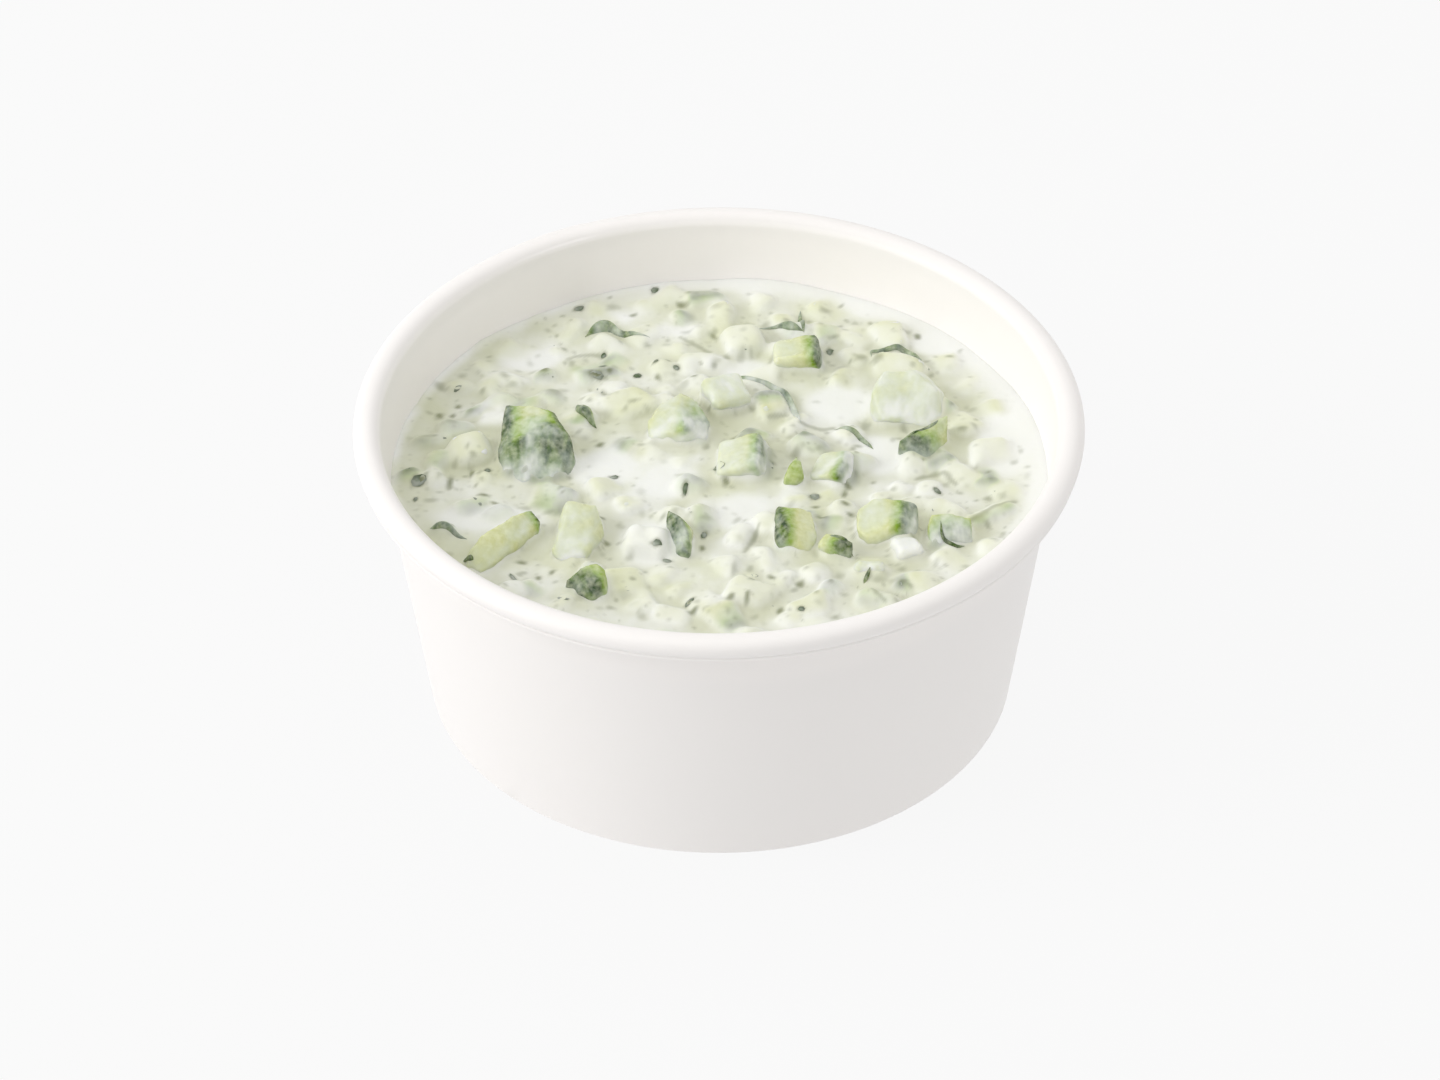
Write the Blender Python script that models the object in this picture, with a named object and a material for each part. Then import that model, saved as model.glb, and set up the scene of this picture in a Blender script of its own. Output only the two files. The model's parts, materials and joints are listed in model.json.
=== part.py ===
"""Tzatziki dip in a round paper bowl: bowl wall with rolled rim, base disc, dip and cucumber pieces.

Metres, +Z up. The origin is the centre of the bowl's underside, on the surface it stands on.
"""

import math
import random

import bmesh
import bpy
from mathutils import Euler, Matrix, Vector

# Bowl. The wall is a straight cone, rolled outwards at the top and folded inwards under the base.
RIM_RADIUS = 0.0490            # outermost edge of the rolled rim
RIM_TOP = 0.0430               # highest point of the rolled rim
ROLL_HALF_WIDTH = 0.00185
ROLL_HALF_HEIGHT = 0.00148
ROLL_CLOSED = 0.93             # how far round the curl comes back to the wall
FOOT_RADIUS = 0.03985          # outer radius where the bowl stands
WALL_SLOPE = 0.1433            # outward lean of the wall: radius gained for each unit of height
PAPER = 0.00045                # thickness of the coated board
FOOT_HEIGHT = 0.0048           # the folded foot, as deep as the recess under the base
FOOT_THICKNESS = 0.00125       # wall, base skirt and fold pressed together
BASE_THICKNESS = 0.0005
ROUND_SEGMENTS = 80
ROLL_STEPS = 8                 # from the outermost edge over the top to the inner wall
ROLL_UNDER_STEPS = 5           # from under the roll to its outermost edge

# Fit. Touching pieces keep this gap between their faces.
GAP = 0.0003

# Dip. Its top is a level pool with soft mounds where cucumber lies under the cream.
DIP_LEVEL = 0.0332
DIP_RINGS = 10
MOUND_HEIGHT = 0.0012
MOUND_RADIUS = 0.0050
MOUND_COUNT = 26
MOUND_SEED = 7

# Cucumber. Pieces are cut from a cucumber of this radius, so that a peel side is an arc.
CUCUMBER_RADIUS = 0.0210
FLAT_RADIUS = 0.2              # bulge of a side that was cut and has no peel
CORNER = 0.0005                # softened edge of a cut piece
UNEVEN = 0.00018               # how far a corner strays from its place

# Colours, as linear red, green, blue
PAPER_COLOUR = (0.86, 0.85, 0.83)
CREAM_COLOUR = (0.84, 0.85, 0.80)
FLESH_COLOUR = (0.62, 0.70, 0.33)
PEEL_COLOUR = (0.03, 0.10, 0.035)

# Cucumber pieces: name, centre, size (along the cucumber, around it, inwards from the peel),
# turn about X, Y and Z in degrees, lean of the inner side, and whether the piece has peel.
PIECES = (
    ("chunk_big_peel", (-0.0246, 0.0034, 0.0335), (0.0098, 0.0080, 0.0070), (58, 0, -6), 0.0020, True),
    ("chunk_left_pale", (-0.0336, 0.0046, 0.0331), (0.0046, 0.0046, 0.0046), (12, -8, 15), 0.0, False),
    ("strip_back_left", (-0.0138, 0.0316, 0.0334), (0.0086, 0.0022, 0.0030), (20, 6, -16), 0.0, True),
    ("chunk_centre_left", (-0.0052, 0.0104, 0.0324), (0.0064, 0.0070, 0.0068), (16, 62, -18), 0.0, True),
    ("chunk_centre_dome", (0.0010, 0.0160, 0.0332), (0.0058, 0.0056, 0.0058), (10, 6, 24), 0.0, False),
    ("chunk_back_pale", (0.0036, 0.0288, 0.0327), (0.0048, 0.0048, 0.0052), (6, -6, 8), 0.0, False),
    ("chunk_back_green", (0.0113, 0.0250, 0.0331), (0.0056, 0.0052, 0.0064), (8, 74, 6), 0.0, True),
    ("strip_back_peel", (0.0095, 0.0325, 0.0336), (0.0060, 0.0021, 0.0032), (24, 0, -14), 0.0, True),
    ("strip_back_upright", (0.0147, 0.0352, 0.0334), (0.0020, 0.0060, 0.0040), (0, 20, 4), 0.0, True),
    ("strip_right_peel", (0.0246, 0.0254, 0.0336), (0.0070, 0.0020, 0.0034), (14, 4, -10), 0.0, True),
    ("chunk_right_yellow", (0.0256, 0.0158, 0.0332), (0.0082, 0.0074, 0.0064), (14, -10, -24), 0.0, False),
    ("wedge_right_green", (0.0283, 0.0052, 0.0336), (0.0066, 0.0046, 0.0048), (64, 0, 30), 0.0012, True),
    ("strip_long_peel", (0.0104, 0.0136, 0.0332), (0.0080, 0.0060, 0.0028), (12, 24, -52), 0.0, True),
    ("strip_centre_right", (0.0179, 0.0075, 0.0335), (0.0086, 0.0018, 0.0028), (24, 0, -28), 0.0, True),
    ("chunk_centre_pale", (0.0036, 0.0018, 0.0331), (0.0054, 0.0074, 0.0064), (8, 66, 4), 0.0, True),
    ("wedge_centre_green", (0.0096, -0.0017, 0.0335), (0.0020, 0.0050, 0.0044), (10, -20, 8), 0.0, True),
    ("chunk_centre_clear", (0.0158, -0.0003, 0.0330), (0.0046, 0.0060, 0.0052), (8, 56, -10), 0.0, True),
    ("chunk_front_peel", (0.0099, -0.0122, 0.0331), (0.0052, 0.0076, 0.0050), (12, -72, 4), 0.0, True),
    ("wedge_front_green", (0.0157, -0.0175, 0.0332), (0.0040, 0.0038, 0.0042), (50, 18, -34), 0.0, True),
    ("chunk_front_yellow", (0.0214, -0.0112, 0.0332), (0.0064, 0.0062, 0.0066), (12, 70, 2), 0.0, True),
    ("chunk_front_white", (0.0247, -0.0176, 0.0329), (0.0036, 0.0036, 0.0042), (8, 0, 20), 0.0, False),
    ("chunk_front_right", (0.0310, -0.0126, 0.0330), (0.0056, 0.0052, 0.0056), (66, 0, 8), 0.0, True),
    ("chunk_front_low", (0.0198, -0.0207, 0.0321), (0.0042, 0.0038, 0.0040), (58, 0, -6), 0.0, True),
    ("stick_front_left", (-0.0291, -0.0141, 0.0334), (0.0112, 0.0046, 0.0050), (44, 0, 42), 0.0, True),
    ("chunk_front_left", (-0.0180, -0.0128, 0.0331), (0.0052, 0.0072, 0.0060), (10, 40, -6), 0.0, False),
    ("wedge_near_green", (-0.0175, -0.0240, 0.0326), (0.0052, 0.0054, 0.0056), (60, -24, -10), 0.0, True),
    ("strip_front_centre", (-0.0052, -0.0138, 0.0332), (0.0022, 0.0084, 0.0048), (10, 16, 14), 0.0, True),
)


def make_material(name, colour, roughness):
    material = bpy.data.materials.new(name)
    material.use_nodes = True
    shader = material.node_tree.nodes["Principled BSDF"]
    shader.inputs["Base Color"].default_value = (*colour, 1.0)
    shader.inputs["Roughness"].default_value = roughness
    shader.inputs["Metallic"].default_value = 0.0
    material.diffuse_color = (*colour, 1.0)
    return material


def add_object(name, mesh_maker, material, smooth_degrees=35):
    """Turn a bmesh into a named object with outward faces and its own material."""
    bmesh.ops.recalc_face_normals(mesh_maker, faces=mesh_maker.faces)
    mesh = bpy.data.meshes.new(name)
    mesh_maker.to_mesh(mesh)
    mesh_maker.free()
    mesh.materials.append(material)
    mesh.shade_smooth()
    mesh.set_sharp_from_angle(angle=math.radians(smooth_degrees))
    made = bpy.data.objects.new(name, mesh)
    bpy.context.collection.objects.link(made)
    return made


def turned(profile):
    """Closed body of revolution about Z from a closed outline of (radius, height) points."""
    work = bmesh.new()
    verts = [work.verts.new((radius, 0.0, height)) for radius, height in profile]
    edges = [work.edges.new((verts[i - 1], verts[i])) for i in range(len(verts))]
    bmesh.ops.spin(
        work, geom=verts + edges, axis=(0, 0, 1), cent=(0, 0, 0),
        angle=math.tau, steps=ROUND_SEGMENTS, use_merge=True,
    )
    bmesh.ops.remove_doubles(work, verts=work.verts, dist=1e-6)
    return work


def wall_outer(height):
    return FOOT_RADIUS + WALL_SLOPE * height


def wall_inner(height):
    return wall_outer(height) - PAPER


def roll_arc():
    """The rolled rim's section, from under the roll, round its outer side, to the inner wall."""
    centre_radius = RIM_RADIUS - ROLL_HALF_WIDTH
    centre_height = RIM_TOP - ROLL_HALF_HEIGHT
    under = math.acos((wall_outer(centre_height) - centre_radius) / ROLL_HALF_WIDTH)
    angles = [-under * ROLL_CLOSED * (1 - i / ROLL_UNDER_STEPS) for i in range(ROLL_UNDER_STEPS)]
    angles += [math.pi * i / ROLL_STEPS for i in range(ROLL_STEPS + 1)]
    return [
        (
            centre_radius + ROLL_HALF_WIDTH * math.cos(angle),
            centre_height + ROLL_HALF_HEIGHT * math.sin(angle),
        )
        for angle in angles
    ]


def make_bowl_wall(material):
    foot_inner = FOOT_RADIUS - FOOT_THICKNESS
    profile = [(foot_inner, 0.0), (FOOT_RADIUS, 0.0)]
    profile += roll_arc()
    profile += [
        (wall_inner(FOOT_HEIGHT), FOOT_HEIGHT),
        (foot_inner + WALL_SLOPE * FOOT_HEIGHT, FOOT_HEIGHT),
    ]
    return add_object("bowl_wall", turned(profile), material)


def disc(radius_low, low, radius_high, high):
    """Solid round plate with a straight or leaning side."""
    work = bmesh.new()
    bmesh.ops.create_cone(
        work, cap_ends=True, cap_tris=True, segments=ROUND_SEGMENTS,
        radius1=radius_low, radius2=radius_high, depth=high - low,
        matrix=Matrix.Translation((0, 0, (low + high) / 2)),
    )
    return work


def make_bowl_base(material):
    low = FOOT_HEIGHT + GAP
    high = low + BASE_THICKNESS
    return add_object(
        "bowl_base", disc(wall_inner(low) - GAP, low, wall_inner(high) - GAP, high), material
    )


def mounds():
    """Places and heights of the soft mounds, spread at random with a fixed seed."""
    chance = random.Random(MOUND_SEED)
    reach = wall_inner(DIP_LEVEL) - MOUND_RADIUS
    for _ in range(MOUND_COUNT):
        angle = chance.uniform(0.0, math.tau)
        radius = reach * math.sqrt(chance.random())
        height = MOUND_HEIGHT * chance.uniform(0.4, 1.0)
        yield radius * math.cos(angle), radius * math.sin(angle), height


def dip_height(x, y, bumps):
    """Height of the dip's top: the level, raised by the highest mound near the point."""
    rise = 0.0
    for mound_x, mound_y, height in bumps:
        distance = math.hypot(x - mound_x, y - mound_y) / MOUND_RADIUS
        rise = max(rise, height * math.exp(-distance * distance * 1.5))
    return DIP_LEVEL + rise


def dip_body():
    """The dip before its pockets are cut: a cone frustum with an uneven top."""
    low = FOOT_HEIGHT + BASE_THICKNESS + 2 * GAP
    bumps = tuple(mounds())
    work = bmesh.new()
    centre_low = work.verts.new((0, 0, low))
    centre_top = work.verts.new((0, 0, dip_height(0, 0, bumps)))
    edge_radius = wall_inner(DIP_LEVEL) - GAP
    rings = [[
        work.verts.new((
            (wall_inner(low) - GAP) * math.cos(math.tau * i / ROUND_SEGMENTS),
            (wall_inner(low) - GAP) * math.sin(math.tau * i / ROUND_SEGMENTS),
            low,
        ))
        for i in range(ROUND_SEGMENTS)
    ]]
    for ring in range(DIP_RINGS, 0, -1):
        radius = edge_radius * ring / DIP_RINGS
        circle = []
        for i in range(ROUND_SEGMENTS):
            x = radius * math.cos(math.tau * i / ROUND_SEGMENTS)
            y = radius * math.sin(math.tau * i / ROUND_SEGMENTS)
            height = DIP_LEVEL if ring == DIP_RINGS else dip_height(x, y, bumps)
            circle.append(work.verts.new((x, y, height)))
        rings.append(circle)
    for first, second in zip(rings, rings[1:]):
        for i in range(ROUND_SEGMENTS):
            j = (i + 1) % ROUND_SEGMENTS
            work.faces.new((first[i], first[j], second[j], second[i]))
    for i in range(ROUND_SEGMENTS):
        j = (i + 1) % ROUND_SEGMENTS
        work.faces.new((centre_low, rings[0][j], rings[0][i]))
        work.faces.new((centre_top, rings[-1][i], rings[-1][j]))
    return work


def cut_outline(around, inwards, lean, bulge_radius):
    """Section across the cucumber: arc of peel on top, two knife cuts and an inner side.

    Points are (across, outwards), counterclockwise, centred on the piece.
    """
    half = around / 2
    top = inwards / 2

    def arc(across):
        return top - (bulge_radius - math.sqrt(bulge_radius ** 2 - across ** 2))

    inner = half * 0.92
    return [
        (lean - inner + CORNER, -top),
        (lean + inner - CORNER, -top),
        (lean + inner, -top + CORNER),
        (half, arc(half) - CORNER),
        (half - CORNER, arc(half - CORNER)),
        (half / 3, arc(half / 3)),
        (-half / 3, arc(half / 3)),
        (-half + CORNER, arc(half - CORNER)),
        (-half, arc(half) - CORNER),
        (lean - inner, -top + CORNER),
    ]


def cucumber_piece(name, size, lean, has_peel, grow=0.0):
    """One cut piece about its own centre. Its length is along X, its peel faces +Z."""
    length, around, inwards = (extent + 2 * grow for extent in size)
    bulge_radius = (CUCUMBER_RADIUS if has_peel else FLAT_RADIUS) + grow
    outline = cut_outline(around, inwards, lean, bulge_radius)
    chance = random.Random(name)
    half = length / 2
    stations = ((-half, True), (-half + CORNER, False), (half - CORNER, False), (half, True))
    slant = chance.uniform(-0.10, 0.10)
    work = bmesh.new()
    rings = []
    for x, is_end in stations:
        shrink_across = 1 - 2 * CORNER / around if is_end else 1.0
        shrink_out = 1 - 2 * CORNER / inwards if is_end else 1.0
        ring = []
        for across, outwards in outline:
            stray = Vector(chance.uniform(-UNEVEN, UNEVEN) for _ in range(3))
            place = Vector((x + slant * outwards, across * shrink_across, outwards * shrink_out))
            ring.append(work.verts.new(place + stray))
        rings.append(ring)
    count = len(outline)
    for first, second in zip(rings, rings[1:]):
        for i in range(count):
            j = (i + 1) % count
            work.faces.new((first[j], first[i], second[i], second[j]))
    work.faces.new(rings[0])
    work.faces.new(reversed(rings[-1]))
    bmesh.ops.triangulate(work, faces=work.faces)
    return work


def place(target, centre, turn):
    """Set an object at its centre, turned about X, then Y, then Z."""
    target.location = centre
    target.rotation_euler = Euler([math.radians(angle) for angle in turn], "XYZ")


def make_dip_and_pieces(cream, flesh, peel):
    """The cucumber pieces, and the dip with a pocket cut round each one."""
    dip = add_object("dip", dip_body(), cream)
    for short_name, centre, size, turn, lean, has_peel in PIECES:
        name = "cucumber_" + short_name
        piece = add_object(
            name, cucumber_piece(name, size, lean, has_peel), peel if has_peel else flesh
        )
        place(piece, centre, turn)
        cutter = add_object(
            "pocket_" + short_name, cucumber_piece(name, size, lean, has_peel, GAP), cream
        )
        place(cutter, centre, turn)
        cutter.hide_render = True
        cutter.display_type = "WIRE"
        pocket = dip.modifiers.new("pocket_" + short_name, "BOOLEAN")
        pocket.operation = "DIFFERENCE"
        pocket.object = cutter
    return dip


def main():
    for old in list(bpy.data.objects):
        bpy.data.objects.remove(old)
    paper = make_material("paper", PAPER_COLOUR, 0.45)
    cream = make_material("cream", CREAM_COLOUR, 0.30)
    flesh = make_material("cucumber_flesh", FLESH_COLOUR, 0.25)
    peel = make_material("cucumber_peel", PEEL_COLOUR, 0.25)
    make_bowl_wall(paper)
    make_bowl_base(paper)
    make_dip_and_pieces(cream, flesh, peel)


main()
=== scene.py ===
"""Looks of a tzatziki dip in a paper bowl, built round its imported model."""

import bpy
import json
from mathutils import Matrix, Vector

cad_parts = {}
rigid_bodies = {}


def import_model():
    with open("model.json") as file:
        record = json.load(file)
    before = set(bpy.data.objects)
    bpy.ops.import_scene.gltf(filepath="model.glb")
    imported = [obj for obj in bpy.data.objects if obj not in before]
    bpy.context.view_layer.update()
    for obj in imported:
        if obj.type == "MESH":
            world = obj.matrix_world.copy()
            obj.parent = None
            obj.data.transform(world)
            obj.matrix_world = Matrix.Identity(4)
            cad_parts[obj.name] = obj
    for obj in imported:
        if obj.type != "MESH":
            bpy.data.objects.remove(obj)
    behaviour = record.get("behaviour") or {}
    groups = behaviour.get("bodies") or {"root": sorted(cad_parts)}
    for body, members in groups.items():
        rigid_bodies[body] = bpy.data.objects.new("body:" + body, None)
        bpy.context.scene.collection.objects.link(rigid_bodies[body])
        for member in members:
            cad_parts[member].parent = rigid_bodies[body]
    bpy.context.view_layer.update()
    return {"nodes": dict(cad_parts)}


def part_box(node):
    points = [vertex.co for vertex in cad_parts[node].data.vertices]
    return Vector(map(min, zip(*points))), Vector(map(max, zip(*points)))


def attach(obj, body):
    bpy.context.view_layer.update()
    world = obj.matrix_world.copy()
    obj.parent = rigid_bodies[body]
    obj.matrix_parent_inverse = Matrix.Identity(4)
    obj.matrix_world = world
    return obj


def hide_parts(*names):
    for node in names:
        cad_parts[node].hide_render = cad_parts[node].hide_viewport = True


bl_info = {
    "name": "Tzatziki Dip",
    "version": (1, 0, 0),
    "blender": (4, 5, 0),
    "location": "View3D > Sidebar > Tzatziki",
    "description": "Makes a paper bowl of tzatziki with cucumber, peel and chopped herbs",
    "category": "Add Mesh",
}

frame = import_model()

import json
import math
import random

import bmesh
import bpy
import numpy as np
from bpy.props import FloatProperty, FloatVectorProperty, IntProperty, PointerProperty
from mathutils import Euler, Matrix, Quaternion, Vector, noise
from mathutils.bvhtree import BVHTree

MM = 0.001
WALL_LOW, WALL_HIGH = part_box("bowl_wall")
BASE_LOW, BASE_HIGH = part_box("bowl_base")
DIP_LOW, DIP_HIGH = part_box("dip")
RIM_RADIUS = WALL_HIGH.x
RIM_TOP = WALL_HIGH.z


def linear(code):
    """Linear red, green, blue and alpha of an sRGB colour such as "#F2F1EA"."""
    parts = [int(code[i:i + 2], 16) / 255 for i in (1, 3, 5)]
    return (*(p / 12.92 if p <= 0.04045 else ((p + 0.055) / 1.055) ** 2.4 for p in parts), 1.0)


def colour_setting(name, description, code):
    """A colour in a property group, given as an sRGB hex value."""
    return FloatVectorProperty(
        name=name, description=description, subtype="COLOR", size=4, min=0.0, max=1.0,
        default=linear(code),
    )


def length_setting(name, description, default, **limits):
    """A length in metres in a property group."""
    return FloatProperty(
        name=name, description=description, default=default, unit="LENGTH", precision=5, **limits,
    )


# ---------------------------------------------------------------- settings


class BowlSettings(bpy.types.PropertyGroup):
    """Sizes and colour of the paper bowl."""

    segments: IntProperty(
        name="Segments", description="Steps round the bowl", default=360, min=48, max=720,
    )
    foot_radius: length_setting("Foot radius", "Outer radius where the bowl stands", 0.03985)
    wall_slope: FloatProperty(
        name="Wall slope", description="Radius gained for each unit of height", default=0.1433,
    )
    paper: length_setting("Board", "Thickness of the coated board", 0.00045)
    roll_width: length_setting("Roll width", "Width of the rolled rim", 0.0037)
    roll_height: length_setting("Roll height", "Height of the rolled rim", 0.00296)
    seam_step: length_setting("Seam step", "How far the lapped edge stands out", 0.00016)
    seam_angle: FloatProperty(
        name="Seam place", description="Where the lapped side seam runs", subtype="ANGLE",
        default=math.radians(112),
    )
    colour: colour_setting("Paper", "Colour of the coated board", "#EAE7E5")
    # Painted light: the inside is given a whiter colour to offset the shade inside the bowl.
    brightened_lining: colour_setting("Brightened lining", "Colour of the sealed inside", "#F2EFED")


class DipSettings(bpy.types.PropertyGroup):
    """Level, unevenness and colour of the yoghurt sauce."""

    level: length_setting("Level", "Height of the still pool", 0.0331)
    swell: length_setting("Swell", "Height of the broad waves left by the spoon", 0.00040)
    curd: length_setting("Curd", "Height of the small soft lumps", 0.00022)
    cling: length_setting("Cling", "How far the cream climbs what stands in it", 0.00022)
    reach: length_setting("Reach", "How far the cream runs into the wall, so no gap shows", 0.00015)
    cells: IntProperty(
        name="Cells", description="Grid cells across the top", default=286, min=40, max=300,
    )
    colour: colour_setting("Cream", "Colour of the thick yoghurt", "#E6E7E3")
    juice: colour_setting("Juicy cream", "Cream let down with cucumber juice", "#DADCCB")
    # Painted shade: the grey-green mixed into the cream's hollows and along the shaded left wall.
    shade_tint: colour_setting("Hollow shade", "Grey-green liquid that gathers in the hollows", "#BABC9B")


class CucumberSettings(bpy.types.PropertyGroup):
    """Colours and cut of the cucumber."""

    fineness: length_setting("Fineness", "Voxel size of a piece's surface", 0.00026)
    unevenness: length_setting("Unevenness", "How far a cut face strays from flat", 0.00034)
    rounding: IntProperty(
        name="Rounding", description="Smoothing passes over a piece's edges", default=12, min=0,
    )
    sunk: IntProperty(
        name="Sunk dice", description="Dice at random places under the cream", default=100, min=0,
    )
    seed: IntProperty(name="Seed", description="Start of the random places", default=5)
    peel: colour_setting("Peel", "Dark outer skin", "#2A421C")
    peel_light: colour_setting("Peel streaks", "Paler streaks in the skin", "#587028")
    rind: colour_setting("Rind", "Bright flesh just under the skin", "#7C9A22")
    flesh: colour_setting("Flesh", "Yellow-green flesh further in", "#C5C892")
    core: colour_setting("Core", "Pale wet flesh at the middle", "#D8DABC")


class HerbSettings(bpy.types.PropertyGroup):
    """Chopped herbs in and on the cream."""

    density: FloatProperty(
        name="Density", description="Loose flecks on a square metre where they lie thickest",
        default=60000.0, min=0.0,
    )
    stains: IntProperty(
        name="Stains", description="Flecks tried for in the cream", default=2000, min=0,
    )
    size: length_setting("Size", "Length of a middling fleck", 0.0010)
    seed: IntProperty(name="Seed", description="Start of the random places", default=11)
    colour: colour_setting("Herb", "Colour of chopped dill and mint", "#4C5F3C")


class StageSettings(bpy.types.PropertyGroup):
    """Camera, light and floor."""

    lens: FloatProperty(name="Lens", description="Focal length in millimetres", default=180.6)
    distance: length_setting("Distance", "From the camera to the bowl", 0.98)
    elevation: FloatProperty(
        name="Elevation", description="How far the camera looks down", subtype="ANGLE",
        default=math.radians(38.116),
    )
    roll: FloatProperty(
        name="Roll", description="Turn of the camera about its view", subtype="ANGLE",
        default=math.radians(-0.376),
    )
    key: FloatProperty(name="Key light", description="Power in watts", default=3.5)
    top: FloatProperty(name="Top light", description="Power in watts", default=3.3)
    fill: FloatProperty(name="Fill light", description="Strength of the world", default=0.77)


# ---------------------------------------------------------------- shared helpers


def add_node(tree, kind, inputs=None, ramp=None, **settings):
    """Add one node. Inputs are given by name or number, as a value or as a socket to link."""
    node = tree.nodes.new(kind)
    for key, value in settings.items():
        setattr(node, key, value)
    for key, value in (inputs or {}).items():
        if isinstance(value, bpy.types.NodeSocket):
            tree.links.new(value, node.inputs[key])
        else:
            node.inputs[key].default_value = value
    if ramp:
        stops = node.color_ramp.elements
        while len(stops) < len(ramp):
            stops.new(0.5)
        for stop, (position, colour) in zip(stops, ramp):
            stop.position = position
            stop.color = colour
    return node


def new_material(name):
    """An empty material with a Principled shader. Returns the material, its tree and the shader."""
    material = bpy.data.materials.get(name)
    if material:
        bpy.data.materials.remove(material)
    material = bpy.data.materials.new(name)
    material.use_nodes = True
    tree = material.node_tree
    return material, tree, tree.nodes["Principled BSDF"]


def add_piece(name, mesh, material, slot, *nodes):
    """Put a finished mesh in the scene on the bowl's body, standing for the CAD nodes it replaces."""
    old = bpy.data.objects.get(name)
    if old:
        bpy.data.objects.remove(old)
    mesh.name = name
    mesh.materials.clear()
    mesh.materials.append(material)
    piece = bpy.data.objects.new(name, mesh)
    bpy.context.scene.collection.objects.link(piece)
    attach(piece, "root")
    if nodes:
        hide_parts(*nodes)
    return piece


def evaluated_mesh(holder):
    """The plain mesh of an object whose modifiers make its shape. The holder is removed."""
    bpy.context.view_layer.update()
    graph = bpy.context.evaluated_depsgraph_get()
    mesh = bpy.data.meshes.new_from_object(holder.evaluated_get(graph), depsgraph=graph)
    holder.modifiers.clear()
    bpy.data.objects.remove(holder)
    return mesh


def new_holder(name, mesh):
    """An object that only carries a mesh through its modifiers."""
    holder = bpy.data.objects.new(name, mesh)
    bpy.context.scene.collection.objects.link(holder)
    return holder


def coordinates(mesh):
    """The places of a mesh's vertices as rows of x, y, z."""
    places = np.empty(len(mesh.vertices) * 3, np.float32)
    mesh.vertices.foreach_get("co", places)
    return places.reshape(-1, 3).astype(float)


def set_coordinates(mesh, places):
    mesh.vertices.foreach_set("co", places.astype(np.float32).ravel())
    mesh.update()


def normals(mesh):
    """The vertex normals of a mesh as rows of x, y, z."""
    values = np.empty(len(mesh.vertices) * 3, np.float32)
    mesh.vertex_normals.foreach_get("vector", values)
    return values.reshape(-1, 3).astype(float)


def store(mesh, name, values):
    """Keep one number, or one row of three, for each vertex as a named attribute."""
    values = np.asarray(values, np.float32)
    kind = "FLOAT_VECTOR" if values.ndim == 2 else "FLOAT"
    attribute = mesh.attributes.get(name) or mesh.attributes.new(name, kind, "POINT")
    attribute.data.foreach_set("vector" if values.ndim == 2 else "value", values.ravel())


def blend(low, high, value):
    """Smooth step from 0 at low to 1 at high."""
    share = np.clip((value - low) / (high - low), 0.0, 1.0)
    return share * share * (3 - 2 * share)


def waves(x, y, size, seed):
    """Smooth noise from -1 to 1 over a plane, with lumps about size across."""
    chance = np.random.default_rng(seed)
    count = 128
    grid = chance.uniform(-1.0, 1.0, (count, count))
    turn = chance.uniform(0.0, math.tau)
    across = (x * math.cos(turn) - y * math.sin(turn)) / size + count / 2
    along = (x * math.sin(turn) + y * math.cos(turn)) / size + count / 2
    column = np.floor(across).astype(int)
    row = np.floor(along).astype(int)
    u = across - column
    v = along - row
    u = u * u * u * (u * (u * 6 - 15) + 10)
    v = v * v * v * (v * (v * 6 - 15) + 10)
    column %= count
    row %= count
    right = (column + 1) % count
    above = (row + 1) % count
    low = grid[column, row] * (1 - u) + grid[right, row] * u
    high = grid[column, above] * (1 - u) + grid[right, above] * u
    return low * (1 - v) + high * v


def layered_waves(x, y, size, seed, layers=3):
    """Smooth noise with finer and lower layers on top of it."""
    total = 0.0
    for layer in range(layers):
        total = total + waves(x, y, size / 2 ** layer, seed + layer) / 2 ** layer
    return total / (2 - 2 ** (1 - layers))


def noise_3d(places, size, seed):
    """Smooth noise from -1 to 1 in space, one number for each place."""
    shift = Vector((seed * 7.31, seed * 3.77, seed * 5.13))
    return np.array([noise.noise(Vector(place) / size + shift) for place in places])


# ---------------------------------------------------------------- materials


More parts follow.
